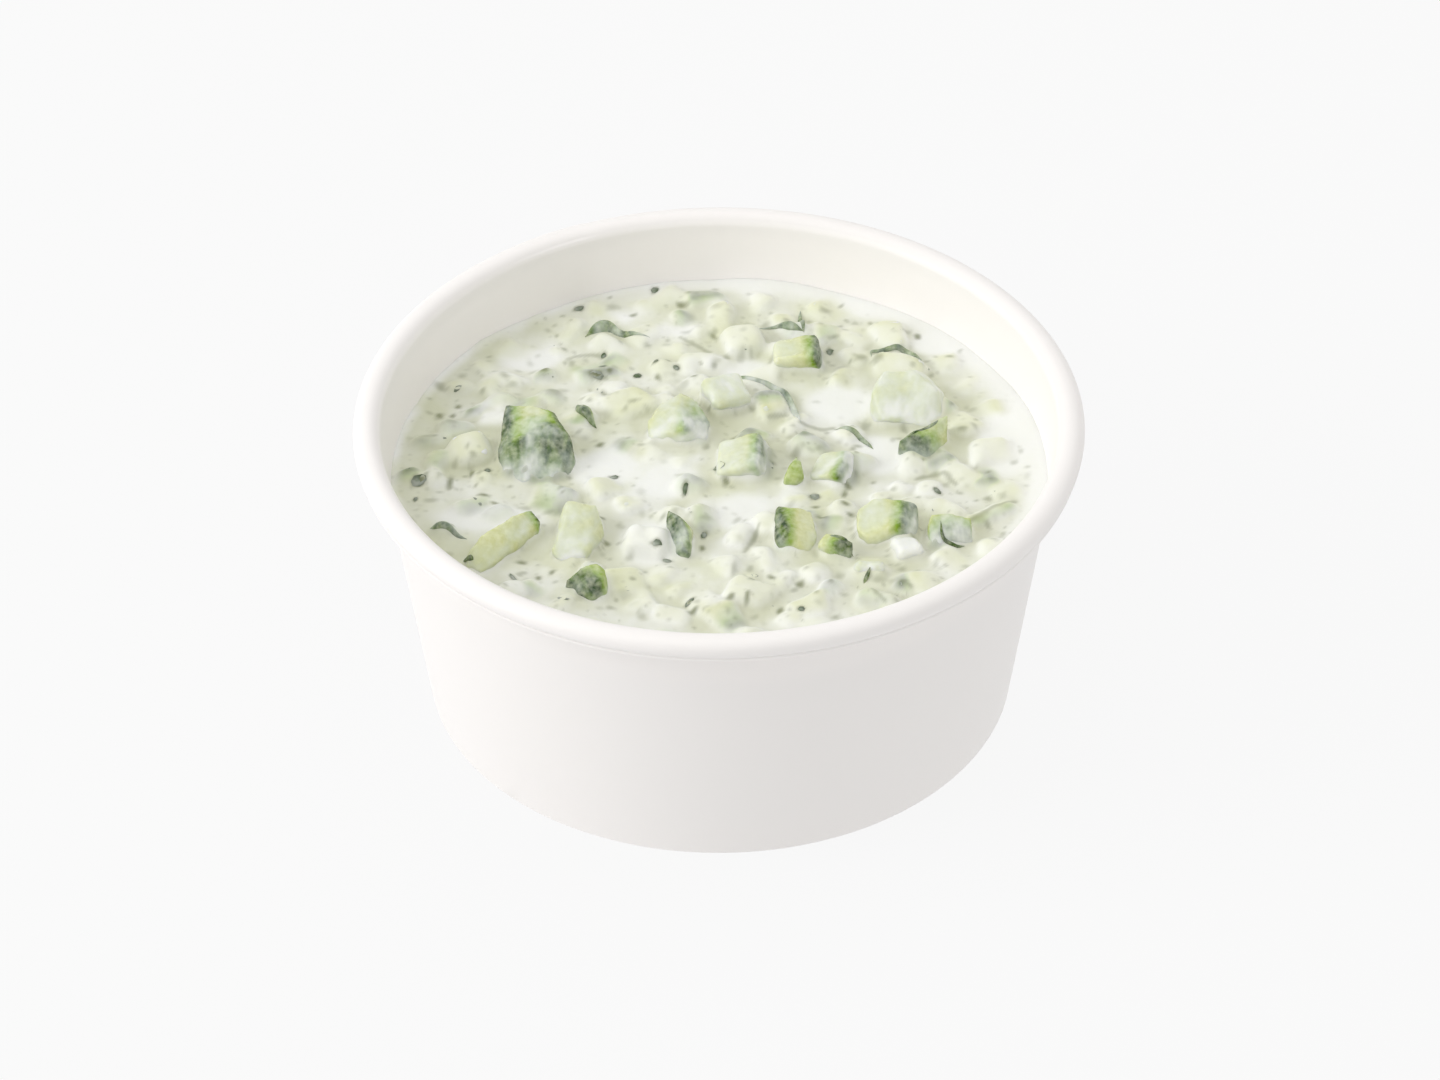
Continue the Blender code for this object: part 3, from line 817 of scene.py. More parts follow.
# Knife-cut corners of the pieces whose outline stands out, in millimetres: across, back, and up
# from the level of the cream.
CORNERS = {
    "chunk_big_peel": (
        (-28.4, 2.2, 2.3), (-25.6, 3.0, 3.0), (-22.6, 4.6, 4.2), (-19.8, 3.0, 2.8),
        (-28.9, 10.8, 3.4), (-25.4, 10.2, 3.9), (-22.2, 8.0, 4.3), (-29.9, 2.4, 0.6),
        (-29.2, -0.2, 0.0), (-26.4, -2.2, 0.0), (-22.6, -2.2, 0.0), (-20.2, -1.0, 0.0),
        (-19.2, 1.8, 0.6), (-29.0, 10.0, -2.0), (-20.0, 8.0, -2.0), (-28.5, 0.0, -3.0),
        (-20.5, 0.0, -3.0), (-24.5, -1.8, -3.0),
    ),
    "wedge_near_green": (
        (-20.3, -25.0, 1.5), (-18.2, -24.0, 2.8), (-16.4, -23.4, 3.1), (-15.0, -24.4, 2.7),
        (-14.7, -27.0, 0.0), (-16.8, -28.1, 0.0), (-18.8, -26.8, 0.0), (-20.4, -25.3, 0.0),
        (-15.5, -26.6, 2.2), (-14.7, -23.5, -3.0), (-20.0, -24.0, -3.0), (-17.0, -28.0, -3.0),
    ),
    "wedge_right_green": (
        (24.0, 3.6, 2.4), (26.6, 4.9, 2.9), (29.2, 6.5, 3.1), (31.0, 8.6, 3.0), (30.9, 6.4, 2.2),
        (28.0, 3.6, 2.3), (25.0, 2.4, 1.0), (28.6, 1.9, 0.0), (31.0, 5.4, 0.0),
        (24.2, 3.0, -2.5), (31.0, 9.0, -2.5), (29.0, 2.0, -2.5),
    ),
    "wedge_centre_green": (
        (10.4, 0.9, 1.9), (11.0, -0.9, 2.4), (9.2, -1.8, 2.3), (8.6, -3.0, 0.9),
        (10.4, -3.5, 0.9), (11.2, -2.6, 1.5), (8.6, -3.0, -2.0), (11.2, -3.0, -2.0),
        (10.4, 1.0, -2.0),
    ),
    "chunk_front_peel": (
        (7.6, -10.4, 2.3), (9.2, -11.8, 3.0), (8.9, -16.6, 2.6), (7.3, -15.4, 0.9),
        (7.6, -17.4, 0.0), (12.4, -11.2, 1.8), (12.8, -15.8, 0.8), (12.0, -17.6, 0.0),
        (7.2, -10.4, -2.5), (12.6, -10.8, -2.5), (12.0, -17.4, -2.5), (7.4, -17.4, -2.5),
    ),
    "wedge_front_green": (
        (14.0, -15.9, 2.2), (17.8, -18.0, 2.0), (15.6, -18.6, 2.4), (14.4, -19.0, 0.2),
        (12.8, -17.5, 1.2), (17.4, -19.4, 0.0), (13.0, -16.5, -2.0), (17.6, -17.6, -2.0),
        (14.6, -19.2, -2.0),
    ),
    "chunk_front_yellow": (
        (18.3, -12.0, 2.9), (20.6, -10.6, 3.6), (24.2, -11.3, 3.8), (24.5, -15.6, 2.9),
        (19.6, -16.2, 1.4), (18.1, -14.6, 1.8), (26.4, -10.4, 2.4), (26.6, -14.0, 1.0),
        (25.2, -16.4, 0.0), (19.6, -17.0, 0.0), (18.0, -11.0, -2.5), (26.6, -10.4, -2.5),
        (25.4, -16.4, -2.5), (19.0, -17.0, -2.5),
    ),
    "chunk_centre_left": (
        (-5.2, 14.6, 2.4), (-5.4, 10.8, 3.1), (-4.4, 6.2, 2.8), (-9.8, 8.8, 1.8),
        (-9.2, 6.6, 0.6), (-6.0, 5.6, 0.0), (-3.6, 5.8, 0.0), (-2.9, 13.4, 1.6),
        (-1.2, 9.8, 1.0), (-1.6, 6.6, 0.4), (-8.0, 13.0, 1.8), (-9.0, 7.0, -3.0),
        (-2.0, 6.0, -3.0), (-4.0, 14.6, -3.0), (-1.4, 10.0, -3.0),
    ),
    "stick_front_left": (
        (-33.2, -19.0, 1.5), (-31.4, -16.6, 2.9), (-27.6, -13.4, 3.2), (-25.0, -11.4, 2.8),
        (-23.8, -12.6, 1.8), (-24.0, -14.0, 0.4), (-26.8, -17.2, 1.0), (-29.8, -20.6, 0.8),
        (-31.8, -22.0, 0.4), (-33.6, -20.6, 0.3), (-33.8, -18.6, 0.0), (-26.4, -11.2, 0.5),
        (-33.2, -19.4, -2.5), (-25.0, -12.0, -2.5), (-27.4, -17.6, -2.5), (-30.8, -21.6, -2.5),
    ),
    "chunk_front_left": (
        (-20.4, -10.4, 3.2), (-16.4, -10.6, 3.0), (-15.8, -13.6, 1.8), (-20.6, -14.6, 3.0),
        (-22.4, -18.0, 1.0), (-17.4, -18.2, 1.4), (-16.2, -16.0, 0.6), (-21.0, -19.4, 0.0),
        (-17.6, -19.0, 0.0), (-15.4, -14.0, 0.0), (-21.0, -9.6, 0.0), (-16.0, -9.4, 0.0),
        (-21.0, -10.0, -2.5), (-16.0, -10.0, -2.5), (-17.4, -18.8, -2.5), (-21.6, -18.6, -2.5),
    ),
    "strip_front_centre": (
        (-6.9, -11.6, 2.5), (-5.4, -13.4, 3.0), (-4.1, -17.4, 2.2), (-4.0, -18.8, 0.2),
        (-6.2, -18.2, 0.0), (-7.2, -14.0, 0.9), (-3.4, -14.5, 1.4), (-6.8, -12.0, -2.0),
        (-4.0, -18.6, -2.0), (-6.4, -18.0, -2.0), (-3.4, -14.0, -2.0),
    ),
    "chunk_front_right": (
        (28.0, -13.0, 2.6), (30.2, -12.6, 2.8), (33.6, -13.0, 2.2), (33.4, -15.6, 0.8),
        (30.0, -16.0, 1.2), (27.6, -15.2, 1.4), (28.4, -17.4, 0.0), (33.6, -15.9, 0.0),
        (27.6, -12.0, -2.5), (33.8, -12.4, -2.5), (33.4, -16.0, -2.5), (28.0, -17.2, -2.5),
    ),
    "chunk_right_yellow": (
        (20.8, 13.4, 3.4), (22.6, 17.0, 4.2), (26.6, 16.6, 4.4), (29.6, 13.6, 3.4),
        (27.6, 10.4, 1.4), (22.2, 9.8, 1.2), (30.4, 10.8, 0.4), (21.0, 10.8, 0.0),
        (28.8, 9.4, 0.0), (30.8, 16.0, 1.2), (22.0, 19.6, 1.5), (28.0, 19.4, 1.8),
        (20.4, 12.0, -3.0), (31.0, 11.0, -3.0), (30.6, 17.0, -3.0), (22.0, 19.6, -3.0),
    ),
}

# Further sides with skin, as directions, of pieces cut where the cucumber curves in.
MORE_SKIN = {
    "chunk_big_peel": ((-1.0, 0.1, 0.25), (1.0, 0.2, 0.3)),
    "stick_front_left": ((0.8, 0.5, 0.3),),
}

# Slivers with at least this film lie in the cream and only darken it.
VEILED = 0.4

# Curved slivers of peel on the cream: CAD node or None, points across, back and half as wide in
# millimetres, thickness in millimetres, lean from flat in degrees, and the cream film on them.
SLIVERS = (
    ("strip_back_left", ((-18.4, 31.2, 0.7), (-17.0, 32.4, 1.5), (-15.4, 32.9, 1.6),
                         (-13.8, 31.9, 0.9), (-12.0, 30.8, 0.6), (-9.4, 30.0, 0.5)), 0.6, 50, 0.30),
    ("strip_back_peel", ((5.4, 32.9, 0.25), (7.6, 33.0, 0.35), (9.0, 32.4, 0.8), (10.2, 31.6, 0.9),
                         (11.8, 30.6, 0.5)), 0.7, 50, 0.34),
    ("strip_back_upright", ((11.4, 37.2, 0.5), (11.3, 34.5, 0.6), (11.6, 32.4, 0.7),
                            (11.8, 30.4, 0.5)), 0.5, 40, 0.34),
    ("strip_right_peel", ((21.0, 25.4, 0.35), (21.2, 27.0, 0.5), (23.2, 27.2, 0.45),
                          (25.2, 27.0, 0.6), (26.8, 25.9, 0.85), (27.6, 24.4, 0.75),
                          (27.8, 23.0, 0.4)), 0.5, 55, 0.34),
    ("strip_long_peel", ((1.2, 21.6, 0.3), (3.0, 21.6, 0.5), (5.2, 20.2, 0.6), (7.6, 18.8, 0.6),
                         (9.2, 16.4, 0.9), (10.0, 14.0, 0.95), (10.6, 12.0, 0.75),
                         (11.2, 10.2, 0.5)), 0.6, 40, 0.46),
    ("strip_centre_right", ((15.6, 9.7, 0.35), (17.2, 8.9, 0.55), (18.8, 7.8, 0.6),
                            (20.2, 6.4, 0.45), (20.9, 5.4, 0.2)), 0.5, 55, 0.34),
    (None, ((10.9, 10.4, 0.4), (12.4, 10.4, 0.45), (14.2, 9.8, 0.5), (15.8, 10.3, 0.4)), 0.5, 50, 0.5),
    (None, ((-38.6, -12.2, 0.8), (-37.4, -12.6, 0.8), (-35.6, -13.2, 0.6), (-33.6, -14.0, 0.35)),
     0.6, 50, 0.30),
    (None, ((33.0, -12.2, 0.7), (35.0, -10.2, 0.7), (37.4, -8.2, 0.55), (39.8, -6.6, 0.4)),
     0.5, 35, 0.40),
    (None, ((-20.8, 26.0, 0.35), (-19.4, 26.8, 0.4), (-17.2, 27.1, 0.45), (-15.6, 26.6, 0.6)),
     0.5, 50, 0.5),
    (None, ((-5.2, 30.4, 0.35), (-3.6, 29.2, 0.5), (-2.2, 28.0, 0.5), (-1.0, 26.9, 0.35)),
     0.5, 50, 0.5),
    (None, ((5.2, -12.8, 0.3), (4.4, -15.2, 0.4), (3.2, -17.6, 0.35)), 0.4, 40, 0.5),
    (None, ((20.0, -26.3, 0.3), (20.9, -28.0, 0.4), (21.8, -29.3, 0.3)), 0.4, 40, 0.45),
    (None, ((-34.0, -19.0, 0.6), (-32.6, -20.1, 0.6)), 0.6, 50, 0.10),
    (None, ((-19.2, 15.4, 0.3), (-18.8, 13.4, 0.9), (-17.8, 11.8, 1.0), (-16.6, 10.2, 0.5)),
     1.6, 30, 0.35),
    (None, ((19.9, -21.6, 0.3), (19.4, -22.8, 0.5), (19.0, -24.0, 0.3)), 0.5, 50, 0.12),
    (None, ((1.3, 6.9, 0.4), (2.4, 7.9, 0.4), (3.6, 8.2, 0.35)), 0.5, 50, 0.45),
    (None, ((6.8, 11.9, 0.35), (8.2, 12.4, 0.35), (9.6, 12.6, 0.3)), 0.4, 50, 0.5),
    (None, ((24.2, 3.3, 0.3), (26.4, 4.8, 0.35), (28.8, 6.3, 0.35), (30.4, 8.2, 0.4)), 0.4, 40, 0.04),
    (None, ((14.4, -16.8, 0.3), (16.2, -17.7, 0.4), (17.7, -19.0, 0.3)), 0.4, 40, 0.06),
    (None, ((29.4, -14.0, 0.25), (29.7, -16.2, 0.35), (31.2, -16.9, 0.35), (32.6, -16.6, 0.25)),
     0.5, 40, 0.08),
    (None, ((26.6, -1.6, 0.35), (28.4, -0.9, 0.4), (30.2, -0.9, 0.5), (31.2, -2.2, 0.5),
            (32.0, -3.0, 0.35)), 0.5, 50, 0.4),
)

# Dice sunk in the cream, which only lift it or just break through: place across and back from the
# bowl's axis, top above the level, size along the cucumber, around it and inwards, all in
# millimetres, turn in degrees, whether it has peel, and the cream over it in millimetres.
SUNK = (
    ((0.6, -31.2), 1.3, (5.0, 5.4, 5.0), (20, 10, 30), True, 0.15),
    ((36.6, 4.0), 1.4, (5.8, 5.4, 5.0), (8, 12, 15), False, 0.28),
    ((33.0, 9.8), 1.1, (5.0, 4.4, 5.0), (-8, 6, 40), False, 0.35),
    ((-17.5, 22.2), 1.5, (6.0, 5.6, 5.6), (62, 10, 20), True, 0.20),
    ((23.6, 30.6), 1.5, (4.4, 5.4, 5.6), (12, -8, 10), False, 0.10),
    ((-12.0, 15.0), 1.7, (6.2, 5.8, 5.0), (8, -10, 25), False, 0.20),
    ((-19.0, 12.4), 1.2, (3.2, 4.8, 4.0), (10, 60, -20), True, 0.15),
    ((-23.0, 17.0), 0.9, (3.4, 3.2, 4.0), (30, 30, 40), True, 0.30),
    ((-23.8, 22.2), 0.7, (3.6, 2.6, 4.0), (20, -30, 10), True, 0.35),
    ((0.0, 34.0), 1.2, (2.8, 7.6, 4.0), (12, 10, 4), False, 0.10),
    ((24.4, 22.6), 1.6, (6.4, 5.2, 5.0), (10, 8, -12), False, 0.20),
    ((6.0, -12.0), 1.2, (3.0, 5.0, 4.0), (6, 0, 10), False, 0.45),
    ((20.2, -27.8), 0.9, (4.8, 4.4, 4.0), (18, 10, -30), True, 0.35),
    ((12.0, -29.0), 1.1, (5.2, 4.2, 4.0), (10, -6, 20), False, 0.15),
    ((3.8, -26.4), 1.5, (5.4, 4.8, 4.8), (8, 12, -20), False, 0.35),
    ((-12.8, -24.0), 1.2, (4.6, 4.8, 4.4), (-8, 10, 14), False, 0.15),
    ((-2.6, -10.6), 1.7, (3.0, 6.0, 4.6), (10, 30, 10), True, 0.25),
    ((-4.0, -2.6), 1.6, (4.4, 4.0, 4.6), (40, 20, -12), True, 0.32),
    ((-33.4, -6.8), 0.8, (6.0, 3.2, 4.0), (36, 10, 28), True, 0.40),
    ((-29.6, -8.6), 0.7, (4.4, 3.0, 4.0), (30, -12, 30), True, 0.45),
    ((-15.6, -3.6), 1.4, (4.0, 3.8, 4.4), (6, 12, 30), False, 0.20),
    ((-11.8, -6.8), 1.3, (4.4, 4.0, 4.4), (-10, 8, 8), False, 0.20),
    ((-9.6, -15.6), 1.8, (5.6, 4.8, 5.0), (10, -6, -16), False, 0.75),
    ((29.4, 2.0), 1.0, (4.6, 3.4, 4.0), (64, 0, 30), True, 0.30),
    ((36.2, -9.4), 0.9, (7.6, 3.0, 4.0), (50, 0, 32), True, 0.32),
    ((30.6, -19.4), 1.0, (4.4, 4.4, 4.4), (12, 8, 40), False, 0.25),
    ((18.4, 2.4), 1.3, (4.0, 3.8, 4.4), (30, 20, -20), True, 0.35),
    ((12.4, 6.2), 1.3, (4.8, 4.0, 4.4), (14, 12, -40), True, 0.40),
    ((-33.0, 14.6), 0.6, (4.6, 3.0, 4.0), (24, 20, 50), True, 0.40),
    ((-7.2, 22.8), 1.0, (4.8, 4.6, 4.4), (8, 14, 12), False, 0.30),
    ((-3.0, 20.0), 1.0, (3.8, 3.6, 4.0), (8, -14, 32), False, 0.35),
    ((16.6, -8.6), 1.2, (4.0, 4.0, 4.0), (12, 8, 22), False, 0.40),
    ((-24.6, -24.6), 0.6, (4.4, 3.4, 4.0), (16, 20, -36), True, 0.40),
    ((30.2, 13.6), 1.3, (4.2, 3.8, 4.4), (10, 12, -30), True, 0.25),
    ((27.4, -24.0), 0.8, (4.2, 4.0, 4.0), (12, 8, 10), False, 0.25),
    ((-6.2, -31.0), 0.8, (4.8, 3.6, 4.0), (10, 12, -8), False, 0.25),
    ((14.6, 31.2), 1.0, (4.4, 5.6, 4.0), (10, 20, 12), True, 0.35),
    ((7.2, 14.8), 1.4, (4.4, 5.6, 3.0), (-10, 12, 20), True, 0.14),
)


class Cut:
    """How a piece was cut from its cucumber, which gives any place its depth under the peel."""

    def __init__(self, mesh, turn, has_peel, deepest, more_skin=()):
        places = coordinates(mesh)
        self.centre = places.mean(0)
        self.axes = np.array(Euler([math.radians(angle) for angle in turn]).to_matrix())
        self.deepest = deepest * MM
        sides = [Vector(self.axes[:, 2]), *(Vector(side).normalized() for side in more_skin)]
        self.skin = [
            (np.array(face.center), np.array(face.normal)) for face in mesh.polygons
            if has_peel and max(face.normal.dot(side) for side in sides) > 0.84
        ]

    def local(self, places):
        """Places along the cucumber, around it and outwards, from the piece's centre."""
        return (places - self.centre) @ self.axes

    def depth(self, places):
        nearest = np.full(len(places), self.deepest)
        for point, normal in self.skin:
            nearest = np.minimum(nearest, (point - places) @ normal)
        return np.maximum(nearest, 0.0)


class Lump:
    """A piece of cucumber, how it was cut, and how much cream lies on it."""

    def __init__(self, mesh, cut, film, drape):
        self.mesh = mesh
        self.cut = cut
        self.film = film
        self.drape = drape


def soften(mesh, settings):
    """Give a cut piece a fine closed surface with softened edges."""
    work = bmesh.new()
    work.from_mesh(mesh)
    bmesh.ops.remove_doubles(work, verts=work.verts, dist=1e-6)
    work.to_mesh(mesh)
    work.free()
    holder = new_holder("soft_piece", mesh)
    fine = holder.modifiers.new("Fine", "REMESH")
    fine.mode = "VOXEL"
    fine.voxel_size = settings.fineness
    smooth = holder.modifiers.new("Smooth", "SMOOTH")
    smooth.factor = 0.5
    smooth.iterations = settings.rounding
    return evaluated_mesh(holder)


def roughen(mesh, settings, seed):
    """Stray from the flat cut, as a blunt knife and wet flesh do."""
    places = coordinates(mesh)
    broad = noise_3d(places, 3.0 * MM, seed)
    fine = noise_3d(places, 1.1 * MM, seed + 0.5)
    stray = settings.unevenness * (0.85 * broad + 0.25 * fine)
    set_coordinates(mesh, places + normals(mesh) * stray[:, None])


def hull_mesh(corners, level):
    """The closed body spanned by corners in millimetres."""
    work = bmesh.new()
    for x, y, rise in corners:
        work.verts.new((x * MM, y * MM, level + rise * MM))
    bmesh.ops.convex_hull(work, input=work.verts)
    inside = [vert for vert in work.verts if not vert.link_faces]
    bmesh.ops.delete(work, geom=inside, context="VERTS")
    bmesh.ops.recalc_face_normals(work, faces=work.faces)
    mesh = bpy.data.meshes.new("hull")
    work.to_mesh(mesh)
    work.free()
    return mesh


def sunk_piece(size):
    """A cut cucumber piece about its own centre, with rounded edges."""
    rounding = 0.9 * MM
    steps = 6
    work = bmesh.new()
    bmesh.ops.create_cube(work, size=2.0)
    bmesh.ops.subdivide_edges(work, edges=work.edges[:], cuts=steps, use_grid_fill=True)
    half = Vector(size) * 0.5 * MM
    for vert in work.verts:
        place = Vector(c * h for c, h in zip(vert.co, half))
        core = Vector(max(-h + rounding, min(h - rounding, c)) for c, h in zip(place, half))
        vert.co = core + (place - core).normalized() * rounding if place != core else place
    mesh = bpy.data.meshes.new("sunk_piece")
    work.to_mesh(mesh)
    work.free()
    return mesh


def skewed(places, seed):
    """Places in a box about its centre, with the box's eight corners moved at random."""
    half = np.abs(places).max(0)
    share = 0.5 + 0.5 * places / half
    moves = np.random.default_rng(seed).uniform(-0.42, 0.22, (2, 2, 2, 3)) * half
    result = places.copy()
    for corner in np.ndindex(2, 2, 2):
        weight = np.prod(np.where(corner, share, 1 - share), axis=1)
        result += weight[:, None] * moves[corner] * np.where(corner, 1, -1)
    return result


def smooth_path(points, steps):
    """Rows along a smooth curve through the given rows."""
    rows = np.array(points, float)
    ends = np.vstack([2 * rows[0] - rows[1], rows, 2 * rows[-1] - rows[-2]])
    result = []
    for i in range(len(rows) - 1):
        a, b, c, d = ends[i:i + 4]
        for t in np.arange(steps) / steps:
            result.append(0.5 * (2 * b + (c - a) * t + (2 * a - 5 * b + 4 * c - d) * t * t
                                 + (3 * b - a - 3 * c + d) * t ** 3))
    result.append(rows[-1])
    return np.array(result)


def sliver_mesh(points, thick, lean, ground, seed):
    """A curved strip of peel, partly sunk in what lies under it, its skin side leaning over."""
    path = smooth_path(points, 7)
    count = len(path)
    share = np.linspace(-1.0, 1.0, count)
    taper = 1 - np.clip(np.abs(share), 0, 0.97) ** 3
    wobble = 1 + 0.15 * waves(path[:, 0], path[:, 1], 2.2, seed)
    half = 0.80 * path[:, 2] * MM * taper * wobble
    along = np.gradient(path[:, :2], axis=0)
    along /= np.linalg.norm(along, axis=1)[:, None]
    side = np.stack([along[:, 1], -along[:, 0], np.zeros(count)], 1)
    up = np.array([0.0, 0.0, 1.0])
    tilt = math.radians(lean)
    face = side * math.sin(tilt) + up * math.cos(tilt)
    across = -side * math.cos(tilt) + up * math.sin(tilt)
    centre = np.column_stack([path[:, 0] * MM, path[:, 1] * MM, np.zeros(count)])
    centre[:, 2] = ground(centre[:, 0], centre[:, 1]) + 0.12 * half * math.sin(tilt)
    ring = 10
    turn = np.arange(ring) * math.tau / ring
    places = (
        centre[:, None] + across[:, None] * (half[:, None] * np.cos(turn))[..., None]
        + face[:, None] * (0.5 * thick * MM * taper[:, None] * np.sin(turn))[..., None]
    )
    number = np.arange(count * ring).reshape(count, ring)
    beside = np.roll(number, -1, 1)
    quads = np.stack([number[:-1], number[1:], beside[1:], beside[:-1]], -1).reshape(-1, 4)
    faces = quads.tolist() + [number[0].tolist(), number[-1, ::-1].tolist()]
    mesh = bpy.data.meshes.new("sliver")
    mesh.from_pydata(places.reshape(-1, 3).tolist(), [], faces)
    work = bmesh.new()
    work.from_mesh(mesh)
    bmesh.ops.recalc_face_normals(work, faces=work.faces)
    work.to_mesh(mesh)
    work.free()
    depth = np.tile(0.5 * thick * (1 - np.sin(turn)), count)
    store(mesh, "peel_depth", depth)
    store(mesh, "cut_place", places.reshape(-1, 3) / MM)
    mesh.shade_smooth()
    return mesh


def mark_cut(lump):
    """Keep each vertex's depth under the peel, and its place in the cucumber, in millimetres."""
    places = coordinates(lump.mesh)
    local = lump.cut.local(places)
    depth = lump.cut.depth(places)
    store(lump.mesh, "peel_depth", depth / MM)
    store(lump.mesh, "cut_place", (local + lump.cut.centre * 3) / MM)


def join(meshes, name):
    """One mesh of several, with their attributes."""
    work = bmesh.new()
    for mesh in meshes:
        work.from_mesh(mesh)
    joined = bpy.data.meshes.new(name)
    work.to_mesh(joined)
    work.free()
    joined.shade_smooth()
    return joined


def cut_dice(settings, level):
    """The pieces that stand out of the cream, from their corners or from the CAD node."""
    lumps = {}
    for number, (short_name, turn, has_peel, film, drape, deepest) in enumerate(DICE):
        node = "cucumber_" + short_name
        if short_name in CORNERS:
            rough = hull_mesh(CORNERS[short_name], level + 0.45 * MM)
        else:
            rough = frame["nodes"][node].data.copy()
        cut = Cut(rough, turn, has_peel, deepest, MORE_SKIN.get(short_name, ()))
        mesh = soften(rough, settings)
        roughen(mesh, settings, number)
        lumps[node] = Lump(mesh, cut, film, drape)
        mark_cut(lumps[node])
    return lumps


def chance_dice(settings, dice):
    """Rows like those in SUNK at random places, clear of the pools and of one another."""
    chance = np.random.default_rng(settings.seed)
    taken = []
    for lump in dice.values():
        span = np.ptp(coordinates(lump.mesh), axis=0) / MM
        taken.append((*lump.cut.centre[:2] / MM, 0.55 * span[:2].max()))
    taken += [(*spot, 0.5 * size[0]) for spot, _, size, _, _, _ in SUNK]
    rows = []
    tries = 0
    while len(rows) < settings.sunk and tries < 40 * settings.sunk:
        tries += 1
        x, y = chance.uniform(-42.5, 42.5, 2)
        size = chance.uniform(3.0, 6.0)
        tall, wide = chance.uniform(0.7, 1.15, 2)
        turn = tuple(chance.uniform(-28, 28, 2)) + (chance.uniform(0, 90),)
        has_peel = bool(chance.random() < 0.30)
        rise = chance.uniform(0.2, 1.15)
        drape = chance.uniform(0.14, 0.6)
        if math.hypot(x, y) + 0.5 * size > 43.0:
            continue
        if any(math.hypot((x - a) / wide_x, (y - b) / wide_y) < 1.05 for a, b, wide_x, wide_y in POOLS):
            continue
        if any(math.hypot(x - a, y - b) < 0.78 * (r + 0.5 * size) for a, b, r in taken):
            continue
        taken.append((x, y, 0.5 * size))
        rows.append(((x, y), rise, (size, size * wide, size * tall), turn, has_peel, drape))
    return rows


def inside_wall(places, bowl):
    """Places drawn in to where a little cream still runs behind them at the bowl's wall."""
    reach = wall_inner(bowl, places[:, 2]) - 0.3 * MM
    share = np.minimum(1.0, reach / np.hypot(places[:, 0], places[:, 1]))
    return np.column_stack([places[:, :2] * share[:, None], places[:, 2]])


def sink_dice(settings, bowl, level, rows):
    """The pieces under the cream."""
    lumps = []
    for number, (spot, rise, size, turn, has_peel, drape) in enumerate(rows):
        mesh = sunk_piece(size)
        set_coordinates(mesh, skewed(coordinates(mesh), number))
        turned = coordinates(mesh) @ np.array(Euler([math.radians(a) for a in turn]).to_matrix()).T
        centre = np.array((spot[0] * MM, spot[1] * MM, level + rise * MM - turned[:, 2].max()))
        set_coordinates(mesh, turned + centre)
        deepest = 2.8 + 3.2 * ((number * 0.618) % 1.0)
        side = (turn[0] + (50, -50, 42, -58)[number % 4], *turn[1:])
        cut = Cut(mesh, side, has_peel, deepest)
        roughen(mesh, settings, 100 + number)
        set_coordinates(mesh, inside_wall(coordinates(mesh), bowl))
        lumps.append(Lump(mesh, cut, 0.55, drape))
        mark_cut(lumps[-1])
    return lumps


# ---------------------------------------------------------------- cream


